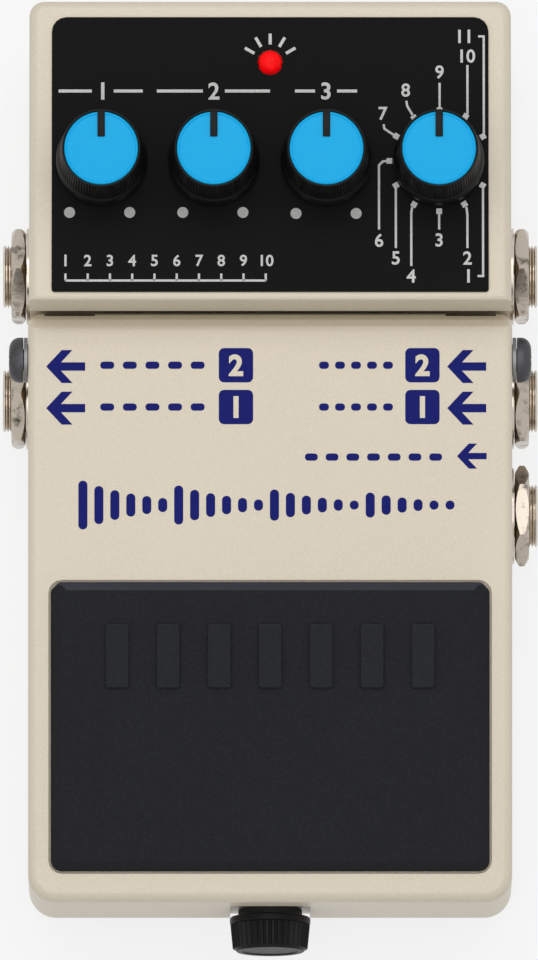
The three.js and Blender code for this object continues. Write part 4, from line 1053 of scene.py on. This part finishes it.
class PEDAL_OT_label(Step, bpy.types.Operator):
    """Make the black label sheet and the marks and numbers printed on it."""

    bl_idname = "pedal.label"
    bl_label = "Panel label"

    def build(self, scene):
        dressed("panel_label", "label", "label_sheet")
        sheet = Sheet("panel_print", Matrix(), LABEL_TOP)

        def line(width, *spots):
            sheet.line("grey", [on_panel(*spot) for spot in spots], width)

        for spot in DOTS:
            sheet.add("dot", circle(DOT_RADIUS, centre=on_panel(*spot)))
        centre = on_panel(*MODE_CENTRE)
        for index, (tick, path, spot) in enumerate(zip(MODE_TICKS, MODE_LINES, MODE_NUMBERS)):
            x, y = on_panel(*tick)
            sheet.tick("grey", x, y, TICK_SIZE, math.atan2(y - centre[1], x - centre[0]))
            line(LINE_WIDTH, *path)
            sheet.number("grey", str(index + 1), *on_panel(*spot), NUMBER_HEIGHT)
        for figure, middle, left, right, y in KNOB_NUMBERS:
            sheet.number("grey", figure, *on_panel(middle, y), KNOB_NUMBER_HEIGHT)
            line(RULE_WIDTH, (left, y), (middle - NUMBER_CLEARANCE, y))
            line(RULE_WIDTH, (middle + NUMBER_CLEARANCE, y), (right, y))
        for i in range(RAYS):
            turn = QUARTER + (i - (RAYS - 1) / 2) * QUARTER / 3
            path = [(r * math.cos(turn), LED_Y + r * math.sin(turn)) for r in (RAY_INNER, RAY_OUTER)]
            sheet.line("grey", path, RULE_WIDTH)
        for i in range(SCALE_NUMBERS):
            x = SCALE_LEFT + SCALE_PITCH * i
            sheet.number("grey", str(i + 1), *on_panel(x, SCALE_TOP), NUMBER_HEIGHT * SCALE_SHARE)
            line(LINE_WIDTH, (x, SCALE_LINE - SCALE_TICK), (x, SCALE_LINE))
        line(LINE_WIDTH, (SCALE_LEFT, SCALE_LINE), (x, SCALE_LINE))
        sheet.finish("base")


# The navy print on the treadle, its places in the plan of the treadle's top

TREADLE_ORIGIN = 49.45


def on_tread(x, y):
    return ((x - PIXEL_MIDDLE) / PIXEL, TREADLE_ORIGIN - y / PIXEL)


ARROW = (
    (0, 16.5), (15.5, 0), (26.3, 0), (14.8, 12.3), (39, 12.3), (39, 20.7), (14.8, 20.7), (26.3, 33),
    (15.5, 33),
)
ARROWS = ((46.3, 350, 1.0), (46.3, 391.6, 1.0), (447.2, 350, 1.0), (447.2, 391.6, 1.0), (457, 443.5, 0.76))
BOXES = ((236, 365.2, "2"), (236, 407, "1"), (422.4, 365.2, "2"), (422.4, 407, "1"))
BOX_SIZE = 4.72
BOX_RADIUS = 0.72
BOX_NUMBER = 3.0
# Left, right, height on the page and number of each row of dashes
DASHES = (
    (96, 209, 365.2, 5),
    (96, 209, 407, 5),
    (316, 396, 365.2, 5),
    (316, 396, 407, 5),
    (301, 446, 457, 7),
)
DASH_SHARE = 0.62
DASH_HEIGHT = 1.0
DASH_ROUND = 0.45
ECHO_LEFT = 83
ECHO_RIGHT = 450
ECHO_MIDDLE = 505
ECHO_HEIGHT = 6.7
ECHO_GROUPS = 4
ECHO_BARS = 6
ECHO_WIDTH = 1.25
ECHO_FALL = 0.8
ECHO_BAR_FALL = 0.78
ECHO_ROUND = 0.48


class PEDAL_OT_tread_print(Step, bpy.types.Operator):
    """Print the navy arrows, numbered boxes and plain bars on the treadle."""

    bl_idname = "pedal.tread_print"
    bl_label = "Treadle print"

    def build(self, scene):
        sheet = Sheet("treadle_print", ON_TREADLE, TREADLE_TOP)
        for left, top, size in ARROWS:
            sheet.add("navy", [on_tread(left + x * size, top + y * size) for x, y in ARROW])
        for x, y, figure in BOXES:
            middle = on_tread(x, y)
            sheet.add("navy", rounded_rectangle(BOX_SIZE, BOX_SIZE, BOX_RADIUS, centre=middle))
            sheet.number("number", figure, *middle, BOX_NUMBER, BOX_FIGURE_WEIGHT, RAISED_LIFT)

        def bar(x, y, width, height, corner):
            sheet.add("navy", rounded_rectangle(width, height, corner, centre=on_tread(x, y)))

        for left, right, y, count in DASHES:
            pitch = (right - left) / count
            for i in range(count):
                x = left + pitch * (i + 0.5)
                bar(x, y, pitch * DASH_SHARE / PIXEL, DASH_HEIGHT, DASH_HEIGHT * DASH_ROUND)
        pitch = (ECHO_RIGHT - ECHO_LEFT) / (ECHO_GROUPS * ECHO_BARS - 1)
        for index in range(ECHO_GROUPS * ECHO_BARS):
            group, place = divmod(index, ECHO_BARS)
            height = max(ECHO_HEIGHT * ECHO_FALL ** group * ECHO_BAR_FALL ** place, ECHO_WIDTH)
            bar(ECHO_LEFT + pitch * index, ECHO_MIDDLE, ECHO_WIDTH, height, ECHO_WIDTH * ECHO_ROUND)
        sheet.finish("treadle")


# The knobs and their caps

# Radius and height, from the axis below, round the shaft and the skirt, to the axis above
KNOB_PROFILE = (
    (0, -4.5), (2.8, -4.5), (2.95, -4.3), (2.95, 7.2), (4.0, 7.2), (4.0, 0), (4.3, 0), (4.3, 7.5), (5.2, 7.5),
    (5.2, 0), (6.15, 0), (6.25, 0.12), (6.24, 1.5), (6.15, 2.15), (5.9, 2.55), (5.72, 2.75), (5.34, 9.9),
    (5.36, 10.1), (5.4, 10.3), (5.38, 10.5), (5.3, 10.58), (5.22, 10.6), (5.15, 10.55), (5.13, 9.8), (0, 9.8),
)
CAP_PROFILE = (
    (0, 9.85), (5.08, 9.85), (5.08, 10.3), (5.0, 10.44), (4.88, 10.5), (4.76, 10.46), (4.66, 10.31),
    (4.56, 10.33), (2.4, 10.36), (0, 10.36),
)
KNOB_SIDES = 96
# Lower and upper radius, bottom, top and size of the ribs
KNOB_RIBS = (5.68, 5.33, 2.85, 9.95, 0.15)
POINTER_WIDTH = 1.0
POINTER_LENGTH = 3.6
POINTER_REACH = 5.2
POINTER_CORNER = 0.08
POINTER_BOTTOM = 9.7
POINTER_TOP = 10.6
POINTER_EDGE = 0.07


class PEDAL_OT_knobs(Step, bpy.types.Operator):
    """Make the four ribbed knobs with blue caps and black pointers."""

    bl_idname = "pedal.knobs"
    bl_label = "Knobs"

    def build(self, scene):
        middle = (0, POINTER_REACH - POINTER_LENGTH / 2)
        plan = rounded_rectangle(POINTER_WIDTH, POINTER_LENGTH, POINTER_CORNER, SMALL_STEPS, middle)
        for name, x in KNOBS:
            place = Matrix.Translation((x, KNOB_Y, KNOB_Z))
            body = painted(turned("knob", KNOB_PROFILE, KNOB_SIDES), "knob")
            grip = ribs(scene.pedal_finishes.knob_ribs, "knob", *KNOB_RIBS)
            pointer = softened(prism("pointer", plan, POINTER_BOTTOM, POINTER_TOP), POINTER_EDGE)
            mesh = joined("knob", [body, grip, painted(pointer, "pointer")], place)
            piece_of("knob_body_" + name, mesh, "knob_" + name, KNOB_ANGLE, False)
            cap = painted(turned("cap", CAP_PROFILE, KNOB_SIDES, place), "cap")
            piece_of("knob_top_" + name, cap, "knob_cap_" + name, ROUND_ANGLE, False)


# The indicator

LENS_RADIUS = 1.57
LENS_BOTTOM = 37.7
LENS_RISE = 0.9
LENS_STEPS = 10
LENS_SIDES = 48


class PEDAL_OT_indicator(Step, bpy.types.Operator):
    """Make the red dome of the indicator."""

    bl_idname = "pedal.indicator"
    bl_label = "Indicator"

    def build(self, scene):
        profile = [(0, LENS_BOTTOM), (LENS_RADIUS, LENS_BOTTOM)]
        for x, z in arc(0, 0, 1, 0, LENS_STEPS)[:-1]:
            profile.append((LENS_RADIUS * x, LABEL_TOP + LENS_RISE * z))
        profile.append((0, LABEL_TOP + LENS_RISE))
        mesh = painted(turned("lens", profile, LENS_SIDES, Matrix.Translation((0, LED_Y, 0))), "lens")
        piece_of("indicator_dome", mesh, "led_lens", weighted=False)


# The jacks with their washers and nuts

JACK_SHOULDER = -2.3
JACK_LAP = 0.6
JACK_BODY = 11.5
JACK_CORNER = 0.8
JACK_SOFTENING = 0.2
JACK_LENGTH = 22
JACK_OUTER = 4.35
JACK_ROOT = 3.95
JACK_BORE = 3.3
JACK_DEPTH = 20
JACK_REACH = 3.86
JACK_EDGE = 0.25
# Shares of the pitch at which the thread's root starts and ends
THREAD_ROOT = (0.42, 0.55)
JACK_PLAY = 0.1
NUT_FLATS = 12.2
NUT_THICKNESS = 1.94
NUT_BOTTOM = 0.75
NUT_CHAMFER = 0.68
NUT_RIM = 0.05
LOCK_RADIUS = 6.7
LOCK_BOTTOM = 0.1
LOCK_THICKNESS = 0.55
LOCK_EDGE = 0.12
BUSH_SIDES = 56
METAL_SIDES = 48


def outward(side, x, y, z):
    """A place on a side wall, with Z pointing out of the wall."""
    return Matrix.Translation((side * x, y, z)) @ Matrix.Rotation(side * QUARTER, 4, "Y")


class PEDAL_OT_jacks(Step, bpy.types.Operator):
    """Make the five threaded jacks with lock washers and hexagon nuts."""

    bl_idname = "pedal.jacks"
    bl_label = "Jacks"

    def build(self, scene):
        pitch = scene.pedal_finishes.thread_pitch / MM
        base = JACK_SHOULDER - JACK_LAP
        rim = JACK_REACH - JACK_EDGE
        thread = [(JACK_BORE, base), (JACK_OUTER, base)]
        z = JACK_SHOULDER
        while z + pitch < rim:
            thread += [(JACK_OUTER, z)] + [(JACK_ROOT, z + pitch * share) for share in THREAD_ROOT]
            z += pitch
        thread += [(JACK_OUTER, z), (JACK_OUTER, rim), (JACK_OUTER - JACK_EDGE, JACK_REACH),
                   (JACK_BORE + JACK_EDGE, JACK_REACH), (JACK_BORE, rim)]
        corner = NUT_FLATS / math.sqrt(3)
        face = NUT_FLATS / 2 - JACK_PLAY
        bore = JACK_OUTER + JACK_PLAY
        top = NUT_BOTTOM + NUT_THICKNESS
        cone = ((0, NUT_BOTTOM), (face, NUT_BOTTOM), (corner + NUT_RIM, NUT_BOTTOM + NUT_CHAMFER),
                (corner + NUT_RIM, top - NUT_CHAMFER), (face, top), (0, top))
        high = LOCK_BOTTOM + LOCK_THICKNESS
        lock = ((bore, LOCK_BOTTOM), (LOCK_RADIUS, LOCK_BOTTOM), (LOCK_RADIUS, high - LOCK_EDGE),
                (LOCK_RADIUS - LOCK_EDGE, high), (bore, high))
        for name, side, y, flat_up in JACKS:
            place = outward(side, HOUSING_SIDE, y, JACK_HEIGHT)
            plan = rounded_rectangle(JACK_BODY, JACK_BODY, JACK_CORNER)
            block = prism("block", plan, JACK_SHOULDER - JACK_LENGTH, JACK_SHOULDER)
            hollow = prism("hollow", circle(JACK_BORE, METAL_SIDES), -JACK_DEPTH, CUT_PAST)
            block = painted(softened(carved(block, [hollow]), JACK_SOFTENING), "black")
            bush = painted(turned("bush", thread, BUSH_SIDES), "nickel")
            mesh = joined("jack", [block, bush], place)
            piece_of("jack_body_" + name, mesh, "jack_" + name, weighted=False)
            hexagon = arc(0, 0, corner, QUARTER / 3 if flat_up else 0, 6, TAU)[:-1]
            nut = prism("nut", hexagon, NUT_BOTTOM, top)
            nut = carved(nut, [turned("cone", cone, METAL_SIDES)], "INTERSECT")
            nut = carved(nut, [prism("hole", circle(bore, METAL_SIDES), 0, 2 * top)])
            # The nuts take the nickel whose dark blotches are partly tarnish and partly a painted reflection
            mesh = joined("nut", [painted(nut, "worn")], place)
            piece_of("hex_nut_" + name, mesh, "jack_nut_" + name, NUT_ANGLE)
            washer = joined("washer", [painted(turned("washer", lock), "nickel")], place)
            piece_of("lock_washer_" + name, washer, "jack_washer_" + name, weighted=False)


# The hinge screws and their bushes

SCREW_HEAD = 3.1
SCREW_WALL = 0.7
SCREW_CROWN = 2.0
SCREW_THREAD = 1.5
SCREW_LENGTH = 6.5
SCREW_TIP = 0.3
CROWN_FLAT = 1.5
CROWN_RISE = 1.35
CROWN_STEPS = 6
# Width, length and corner of the cross slots
CROSS = (0.62, 3.5, 0.1)
CROSS_DEPTH = 1.1
BUSH_FLANGE = 0.5
BUSH_OUTER = 2.2
BUSH_INNER = 1.6
BUSH_EDGE = 0.06
SEAT = 0.1
LUG_OUTER = 30.55


def crossed(head, bottom, top, width, length, corner):
    """A screw's head with two crossed slots cut into it between two heights."""
    sizes = ((width, length), (length, width))
    slots = [rounded_rectangle(*size, corner, SMALL_STEPS) for size in sizes]
    return carved(head, [prism("slot", slot, bottom, top) for slot in slots])


class PEDAL_OT_hinge(Step, bpy.types.Operator):
    """Make the two cross-head hinge screws and the flanged bushes under them."""

    bl_idname = "pedal.hinge"
    bl_label = "Hinge"

    def build(self, scene):
        reach = TREADLE_SIDE + SEAT + BUSH_FLANGE
        end = LUG_OUTER + SEAT - reach
        profile = [(0, -SCREW_LENGTH), (SCREW_THREAD - SCREW_TIP, -SCREW_LENGTH),
                   (SCREW_THREAD, SCREW_TIP - SCREW_LENGTH), (SCREW_THREAD, SEAT), (SCREW_HEAD, SEAT)]
        for x, z in arc(0, 0, 1, 0, CROWN_STEPS):
            profile.append((CROWN_FLAT + (SCREW_HEAD - CROWN_FLAT) * x, SCREW_WALL + CROWN_RISE * z))
        profile.append((0, SCREW_CROWN + SEAT))
        sleeve = ((BUSH_INNER, end), (BUSH_OUTER, end), (BUSH_OUTER, -BUSH_FLANGE),
                  (SCREW_HEAD, -BUSH_FLANGE), (SCREW_HEAD, -BUSH_EDGE), (SCREW_HEAD - BUSH_EDGE, 0),
                  (BUSH_INNER, 0))
        for name, side in (("left", -1), ("right", 1)):
            place = outward(side, reach, HINGE.y / MM, HINGE.z / MM)
            head = turned("head", profile, METAL_SIDES)
            head = crossed(head, SCREW_CROWN - CROSS_DEPTH, SCREW_CROWN + CUT_PAST, *CROSS)
            mesh = joined("screw", [painted(head, "blackened")], place)
            piece_of("pan_screw_" + name, mesh, "hinge_screw_" + name, SCREW_ANGLE, body="treadle")
            mesh = joined("bush", [painted(turned("bush", sleeve, METAL_SIDES), "washer")], place)
            piece_of("flanged_bush_" + name, mesh, "hinge_bush_" + name, weighted=False, body="treadle")


# The thumbscrew

THUMB_Z = 15
THUMB_BACK_Y = -59.5
THUMB_PROFILE = (
    (0, -9), (1.3, -9), (1.7, -8.6), (1.7, -4.4), (1.95, -4.2), (1.95, 0), (5.4, 0), (5.55, 0.15),
    (5.55, 0.85), (5.35, 1.0), (5.22, 1.05), (4.9, 4.1), (4.85, 4.45), (4.6, 4.7), (3.9, 4.7), (3.75, 4.55),
    (0, 4.55),
)
THUMB_SIDES = 80
# Lower and upper radius, bottom, top and size of the ribs
THUMB_RIBS = (5.22, 4.9, 1.0, 4.3, 0.26)


class PEDAL_OT_thumbscrew(Step, bpy.types.Operator):
    """Make the ribbed black thumbscrew in the treadle's front wall."""

    bl_idname = "pedal.thumbscrew"
    bl_label = "Thumbscrew"

    def build(self, scene):
        place = Matrix.Translation((0, THUMB_BACK_Y, THUMB_Z)) @ Matrix.Rotation(QUARTER, 4, "X")
        body = painted(turned("thumb", THUMB_PROFILE, THUMB_SIDES), "knob")
        grip = ribs(scene.pedal_finishes.screw_ribs, "knob", *THUMB_RIBS)
        mesh = joined("thumb", [body, grip], place)
        piece_of("thumb_grip", mesh, "thumbscrew", THUMB_ANGLE, False)
        # The washer is black plastic, and its black also stands in for the shade of the recess above the
        # thumbscrew: a painted shade
        dressed("thumbscrew_washer", "black")


# What lies underneath

PLATE_SCREWS = ("rear_left", "rear_right", "front_left", "front_right")
PLATE_HEAD = 2.4
PLATE_EDGE = 0.3
PLATE_HEIGHT = 1.3
PLATE_SHANK = 1.5
PLATE_TIP = 0.4
PLATE_SIDES = 40
PLATE_CROSS = (0.5, 2.8, 0.08)
PLATE_CROSS_DEPTH = 0.8


class PEDAL_OT_underside(Step, bpy.types.Operator):
    """Finish the rubber mat, the bottom plate and its screws."""

    bl_idname = "pedal.underside"
    bl_label = "Underside"

    def build(self, scene):
        dressed("rubber_mat", "mat")
        dressed("bottom_plate", "zinc")
        for name in PLATE_SCREWS:
            low, high = (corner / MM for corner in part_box("bottom_screw_" + name))
            neck = low.z + PLATE_HEIGHT
            profile = ((0, low.z), (PLATE_HEAD - PLATE_EDGE, low.z), (PLATE_HEAD, low.z + PLATE_EDGE),
                       (PLATE_HEAD, neck), (PLATE_SHANK, neck), (PLATE_SHANK, high.z - PLATE_TIP),
                       (PLATE_SHANK - PLATE_TIP, high.z), (0, high.z))
            head = turned("screw", profile, PLATE_SIDES)
            head = crossed(head, low.z - CUT_PAST, low.z + PLATE_CROSS_DEPTH, *PLATE_CROSS)
            place = Matrix.Translation(((low.x + high.x) / 2, (low.y + high.y) / 2, 0))
            mesh = joined("screw", [painted(head, "zinc")], place)
            piece_of("plate_screw_" + name, mesh, "bottom_screw_" + name, SCREW_ANGLE)


# The works inside

WORKS = (
    ("main_board", "board"),
    ("jack_board", "board"),
    ("board_ribbon", "ribbon"),
    ("pot_level", "zinc"),
    ("pot_feedback", "zinc"),
    ("pot_time", "zinc"),
    ("mode_switch", "zinc"),
    ("power_socket", "black"),
    ("foot_switch", "black"),
    ("switch_stem", "nylon"),
    ("spring_cup", "nylon"),
    ("guide_bush", "nylon"),
    ("battery", "battery"),
    ("battery_snap", "black"),
)
BEVELS = {"foot_switch": 0.2, "battery_snap": 0.2}


class PEDAL_OT_works(Step, bpy.types.Operator):
    """Finish the boards, pots, flat cable, power socket, switch, battery and their fittings."""

    bl_idname = "pedal.works"
    bl_label = "Works inside"

    def build(self, scene):
        for node, finish in WORKS:
            dressed(node, finish, bevel=BEVELS.get(node, 0))


# The wound spring, the rubber boot and the battery leads

SPRING_Y = -12.5
SPRING_RADIUS = 4.65
SPRING_WIRE = 0.6
SPRING_LOW = 12.7
# The spring stays rigid here, so its top is drawn as low as a pressed treadle brings it
SPRING_HIGH = 27.15
SPRING_END_PITCH = 1.75
SPRING_STEPS = 28
WIRE_SIDES = 10
SWITCH_PLACE = (-18, -8)
BOOT_PROFILE = (
    (4.0, 0), (5.6, 0), (5.6, 0.7), (5.35, 0.85), (3.9, 1.9), (3.4, 2.5), (3.0, 2.68), (0, 2.68), (0, 1.9),
    (2.9, 1.88), (4.0, 0.8),
)
BOOT_SIDES = 48
STEEP = 0.9


def swept(name, centres, radius, sides):
    """A closed tube along a path of points."""
    rings = []
    for before, centre, after in zip(centres[:1] + centres, centres, centres[1:] + centres[-1:]):
        ahead = (after - before).normalized()
        lead = Vector((0, 0, 1)) if abs(ahead.z) < STEEP else Vector((1, 0, 0))
        across = ahead.cross(lead).normalized()
        upward = across.cross(ahead).normalized()
        rings.append([centre + across * x + upward * y for x, y in circle(radius, sides)])
    return lofted(name, rings)


class PEDAL_OT_wound(Step, bpy.types.Operator):
    """Make the return spring, the switch boot and the battery leads."""

    bl_idname = "pedal.wound"
    bl_label = "Spring, boot and leads"

    def build(self, scene):
        turns = scene.pedal_finishes.spring_turns
        steps = turns * SPRING_STEPS
        mid_pitch = (SPRING_HIGH - SPRING_LOW - 2 * SPRING_END_PITCH) / (turns - 2)
        centres = []
        for i in range(steps + 1):
            share = i / steps
            ends = min(share, 1 / turns) + max(0, share - 1 + 1 / turns)
            rise = ends * turns * SPRING_END_PITCH + (share - ends) * turns * mid_pitch
            turn = TAU * turns * share
            centres.append(Vector((SPRING_RADIUS * math.cos(turn), SPRING_Y + SPRING_RADIUS * math.sin(turn),
                                   SPRING_LOW + rise)))
        mesh = painted(swept("spring", centres, SPRING_WIRE, WIRE_SIDES), "nickel")
        piece_of("wound_spring", mesh, "return_spring", ROUND_ANGLE, False)
        place = Matrix.Translation((*SWITCH_PLACE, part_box("switch_boot")[0].z / MM))
        boot = painted(turned("boot", BOOT_PROFILE, BOOT_SIDES, place), "boot")
        piece_of("rubber_boot", boot, "switch_boot", weighted=False)
        dressed("battery_lead_red", "red", angle=ROUND_ANGLE)
        dressed("battery_lead_black", "dark", angle=ROUND_ANGLE)


# The stage. The floor's reach and fade and the lamps are in metres

FLOOR_REACH = 8.0
FLOOR_DROP = 0.05
FLOOR_GLOW = 0.8
FLOOR_FADE = (0.15, 0.8)
KEY_PLACE = (0.0, 0.0, 1.15)
KEY_SIZE = (0.9, 0.9)
BACK_PLACE = (0.0, 0.55, 1.1)
BACK_SIZE = (1.1, 0.35)
FRONT_PLACE = (-0.3, -0.45, 1.15)
FRONT_SIZE = (0.7, 0.5)
STRIP_SIDE = 0.9
STRIP_PLACE = (0.05, 0.3)
STRIP_SIZE = (0.9, 0.14)
LENS_LENGTH = 900
SENSOR = 36
CLIP_END = 100
VIEW_HEIGHT = 131.87
CAMERA_TILT = math.radians(81)
AIM = (-0.16, -1.57, 35)


def soft_lamp(name, place, size, power):
    lamp = bpy.data.lights.new(name, "AREA")
    lamp.shape = "RECTANGLE"
    lamp.size, lamp.size_y = size
    lamp.energy = power
    holder = linked(name, lamp)
    holder.location = place
    holder.rotation_euler = (-Vector(place)).to_track_quat("-Z", "Y").to_euler()
    holder.visible_camera = False


class PEDAL_OT_stage(Step, bpy.types.Operator):
    """Set up the pale floor, the soft light and the camera."""

    bl_idname = "pedal.stage"
    bl_label = "Stage"

    def build(self, scene):
        settings = scene.pedal_stage
        reach = FLOOR_REACH / MM
        corners = [(x * reach, y * reach, -FLOOR_DROP) for x, y in ((-1, -1), (1, -1), (1, 1), (-1, 1))]
        floor = linked("floor", mesh_of("floor", corners, [(0, 1, 2, 3)]))
        look = Finish("floor_paint", Roughness=0.9, Base_Color=(*settings.floor_colour, 1))
        glow = look.node("ShaderNodeEmission", {}, Color=WHITE, Strength=1.0)
        distance = look.node("ShaderNodeVectorMath", {"operation": "LENGTH"}, look.place, output="Value")
        share = look.seen_directly() * (FLOOR_GLOW + (1 - FLOOR_GLOW) * distance.between(*FLOOR_FADE))
        upper = look.node("ShaderNodeMixShader", {}, share, Wire(look, look.surface.outputs[0]), glow)
        below = look.node("ShaderNodeNewGeometry", {}, output="Backfacing")
        clear = look.node("ShaderNodeBsdfTransparent", {})
        final = look.node("ShaderNodeMixShader", {}, below, upper, clear)
        look.connect(final, look.nodes["Material Output"].inputs["Surface"])
        floor.data.materials.append(look.material)
        world = bpy.data.worlds.new("soft_room")
        world.use_nodes = True
        scene.world = world
        room = Tree(world.node_tree)
        soft = room.nodes["Background"]
        room.connect(WHITE, soft.inputs["Color"])
        room.connect(settings.sky, soft.inputs["Strength"])
        white = room.node("ShaderNodeBackground", {}, Color=WHITE)
        mix = room.node("ShaderNodeMixShader", {}, room.seen_directly(), Wire(room, soft.outputs[0]), white)
        room.connect(mix, room.nodes["World Output"].inputs["Surface"])
        soft_lamp("key", KEY_PLACE, KEY_SIZE, settings.key_power)
        soft_lamp("back", BACK_PLACE, BACK_SIZE, settings.back_power)
        soft_lamp("front", FRONT_PLACE, FRONT_SIZE, settings.front_power)
        for side in (-1, 1):
            soft_lamp("strip", (side * STRIP_SIDE, *STRIP_PLACE), STRIP_SIZE, settings.strip_power)
        camera = bpy.data.cameras.new("camera")
        camera.lens = LENS_LENGTH
        camera.sensor_width = SENSOR
        camera.clip_end = CLIP_END
        holder = linked("camera", camera)
        away = Vector((0, -math.cos(CAMERA_TILT), math.sin(CAMERA_TILT)))
        distance = VIEW_HEIGHT * MM * LENS_LENGTH / SENSOR
        holder.location = Vector(AIM) * MM + away * distance
        holder.rotation_euler = (QUARTER - CAMERA_TILT, 0, 0)
        scene.camera = holder
        scene.view_settings.view_transform = "Standard"


OPERATORS = (
    PEDAL_OT_finishes,
    PEDAL_OT_castings,
    PEDAL_OT_pad,
    PEDAL_OT_label,
    PEDAL_OT_tread_print,
    PEDAL_OT_knobs,
    PEDAL_OT_indicator,
    PEDAL_OT_jacks,
    PEDAL_OT_hinge,
    PEDAL_OT_thumbscrew,
    PEDAL_OT_underside,
    PEDAL_OT_works,
    PEDAL_OT_wound,
    PEDAL_OT_stage,
)


class PEDAL_PT_panel(bpy.types.Panel):
    """The pedal's operators and settings in the sidebar."""

    bl_label = "Compact Delay Pedal"
    bl_idname = "PEDAL_PT_panel"
    bl_space_type = "VIEW_3D"
    bl_region_type = "UI"
    bl_category = "Pedal"

    def draw(self, context):
        column = self.layout.column()
        for group in (context.scene.pedal_finishes, context.scene.pedal_stage):
            for name in group.bl_rna.properties.keys():
                if name not in ("rna_type", "name"):
                    column.prop(group, name)
        for operator in OPERATORS:
            column.operator(operator.bl_idname)


CLASSES = (PedalFinishes, PedalStage) + OPERATORS + (PEDAL_PT_panel,)


def register():
    for item in CLASSES:
        bpy.utils.register_class(item)
    bpy.types.Scene.pedal_finishes = bpy.props.PointerProperty(type=PedalFinishes)
    bpy.types.Scene.pedal_stage = bpy.props.PointerProperty(type=PedalStage)


def unregister():
    del bpy.types.Scene.pedal_stage
    del bpy.types.Scene.pedal_finishes
    for item in reversed(CLASSES):
        bpy.utils.unregister_class(item)


def main():
    register()
    for operator in OPERATORS:
        name = operator.bl_idname.split(".")[1]
        getattr(bpy.ops.pedal, name)()
    bpy.context.view_layer.update()


if __name__ == "__main__":
    main()
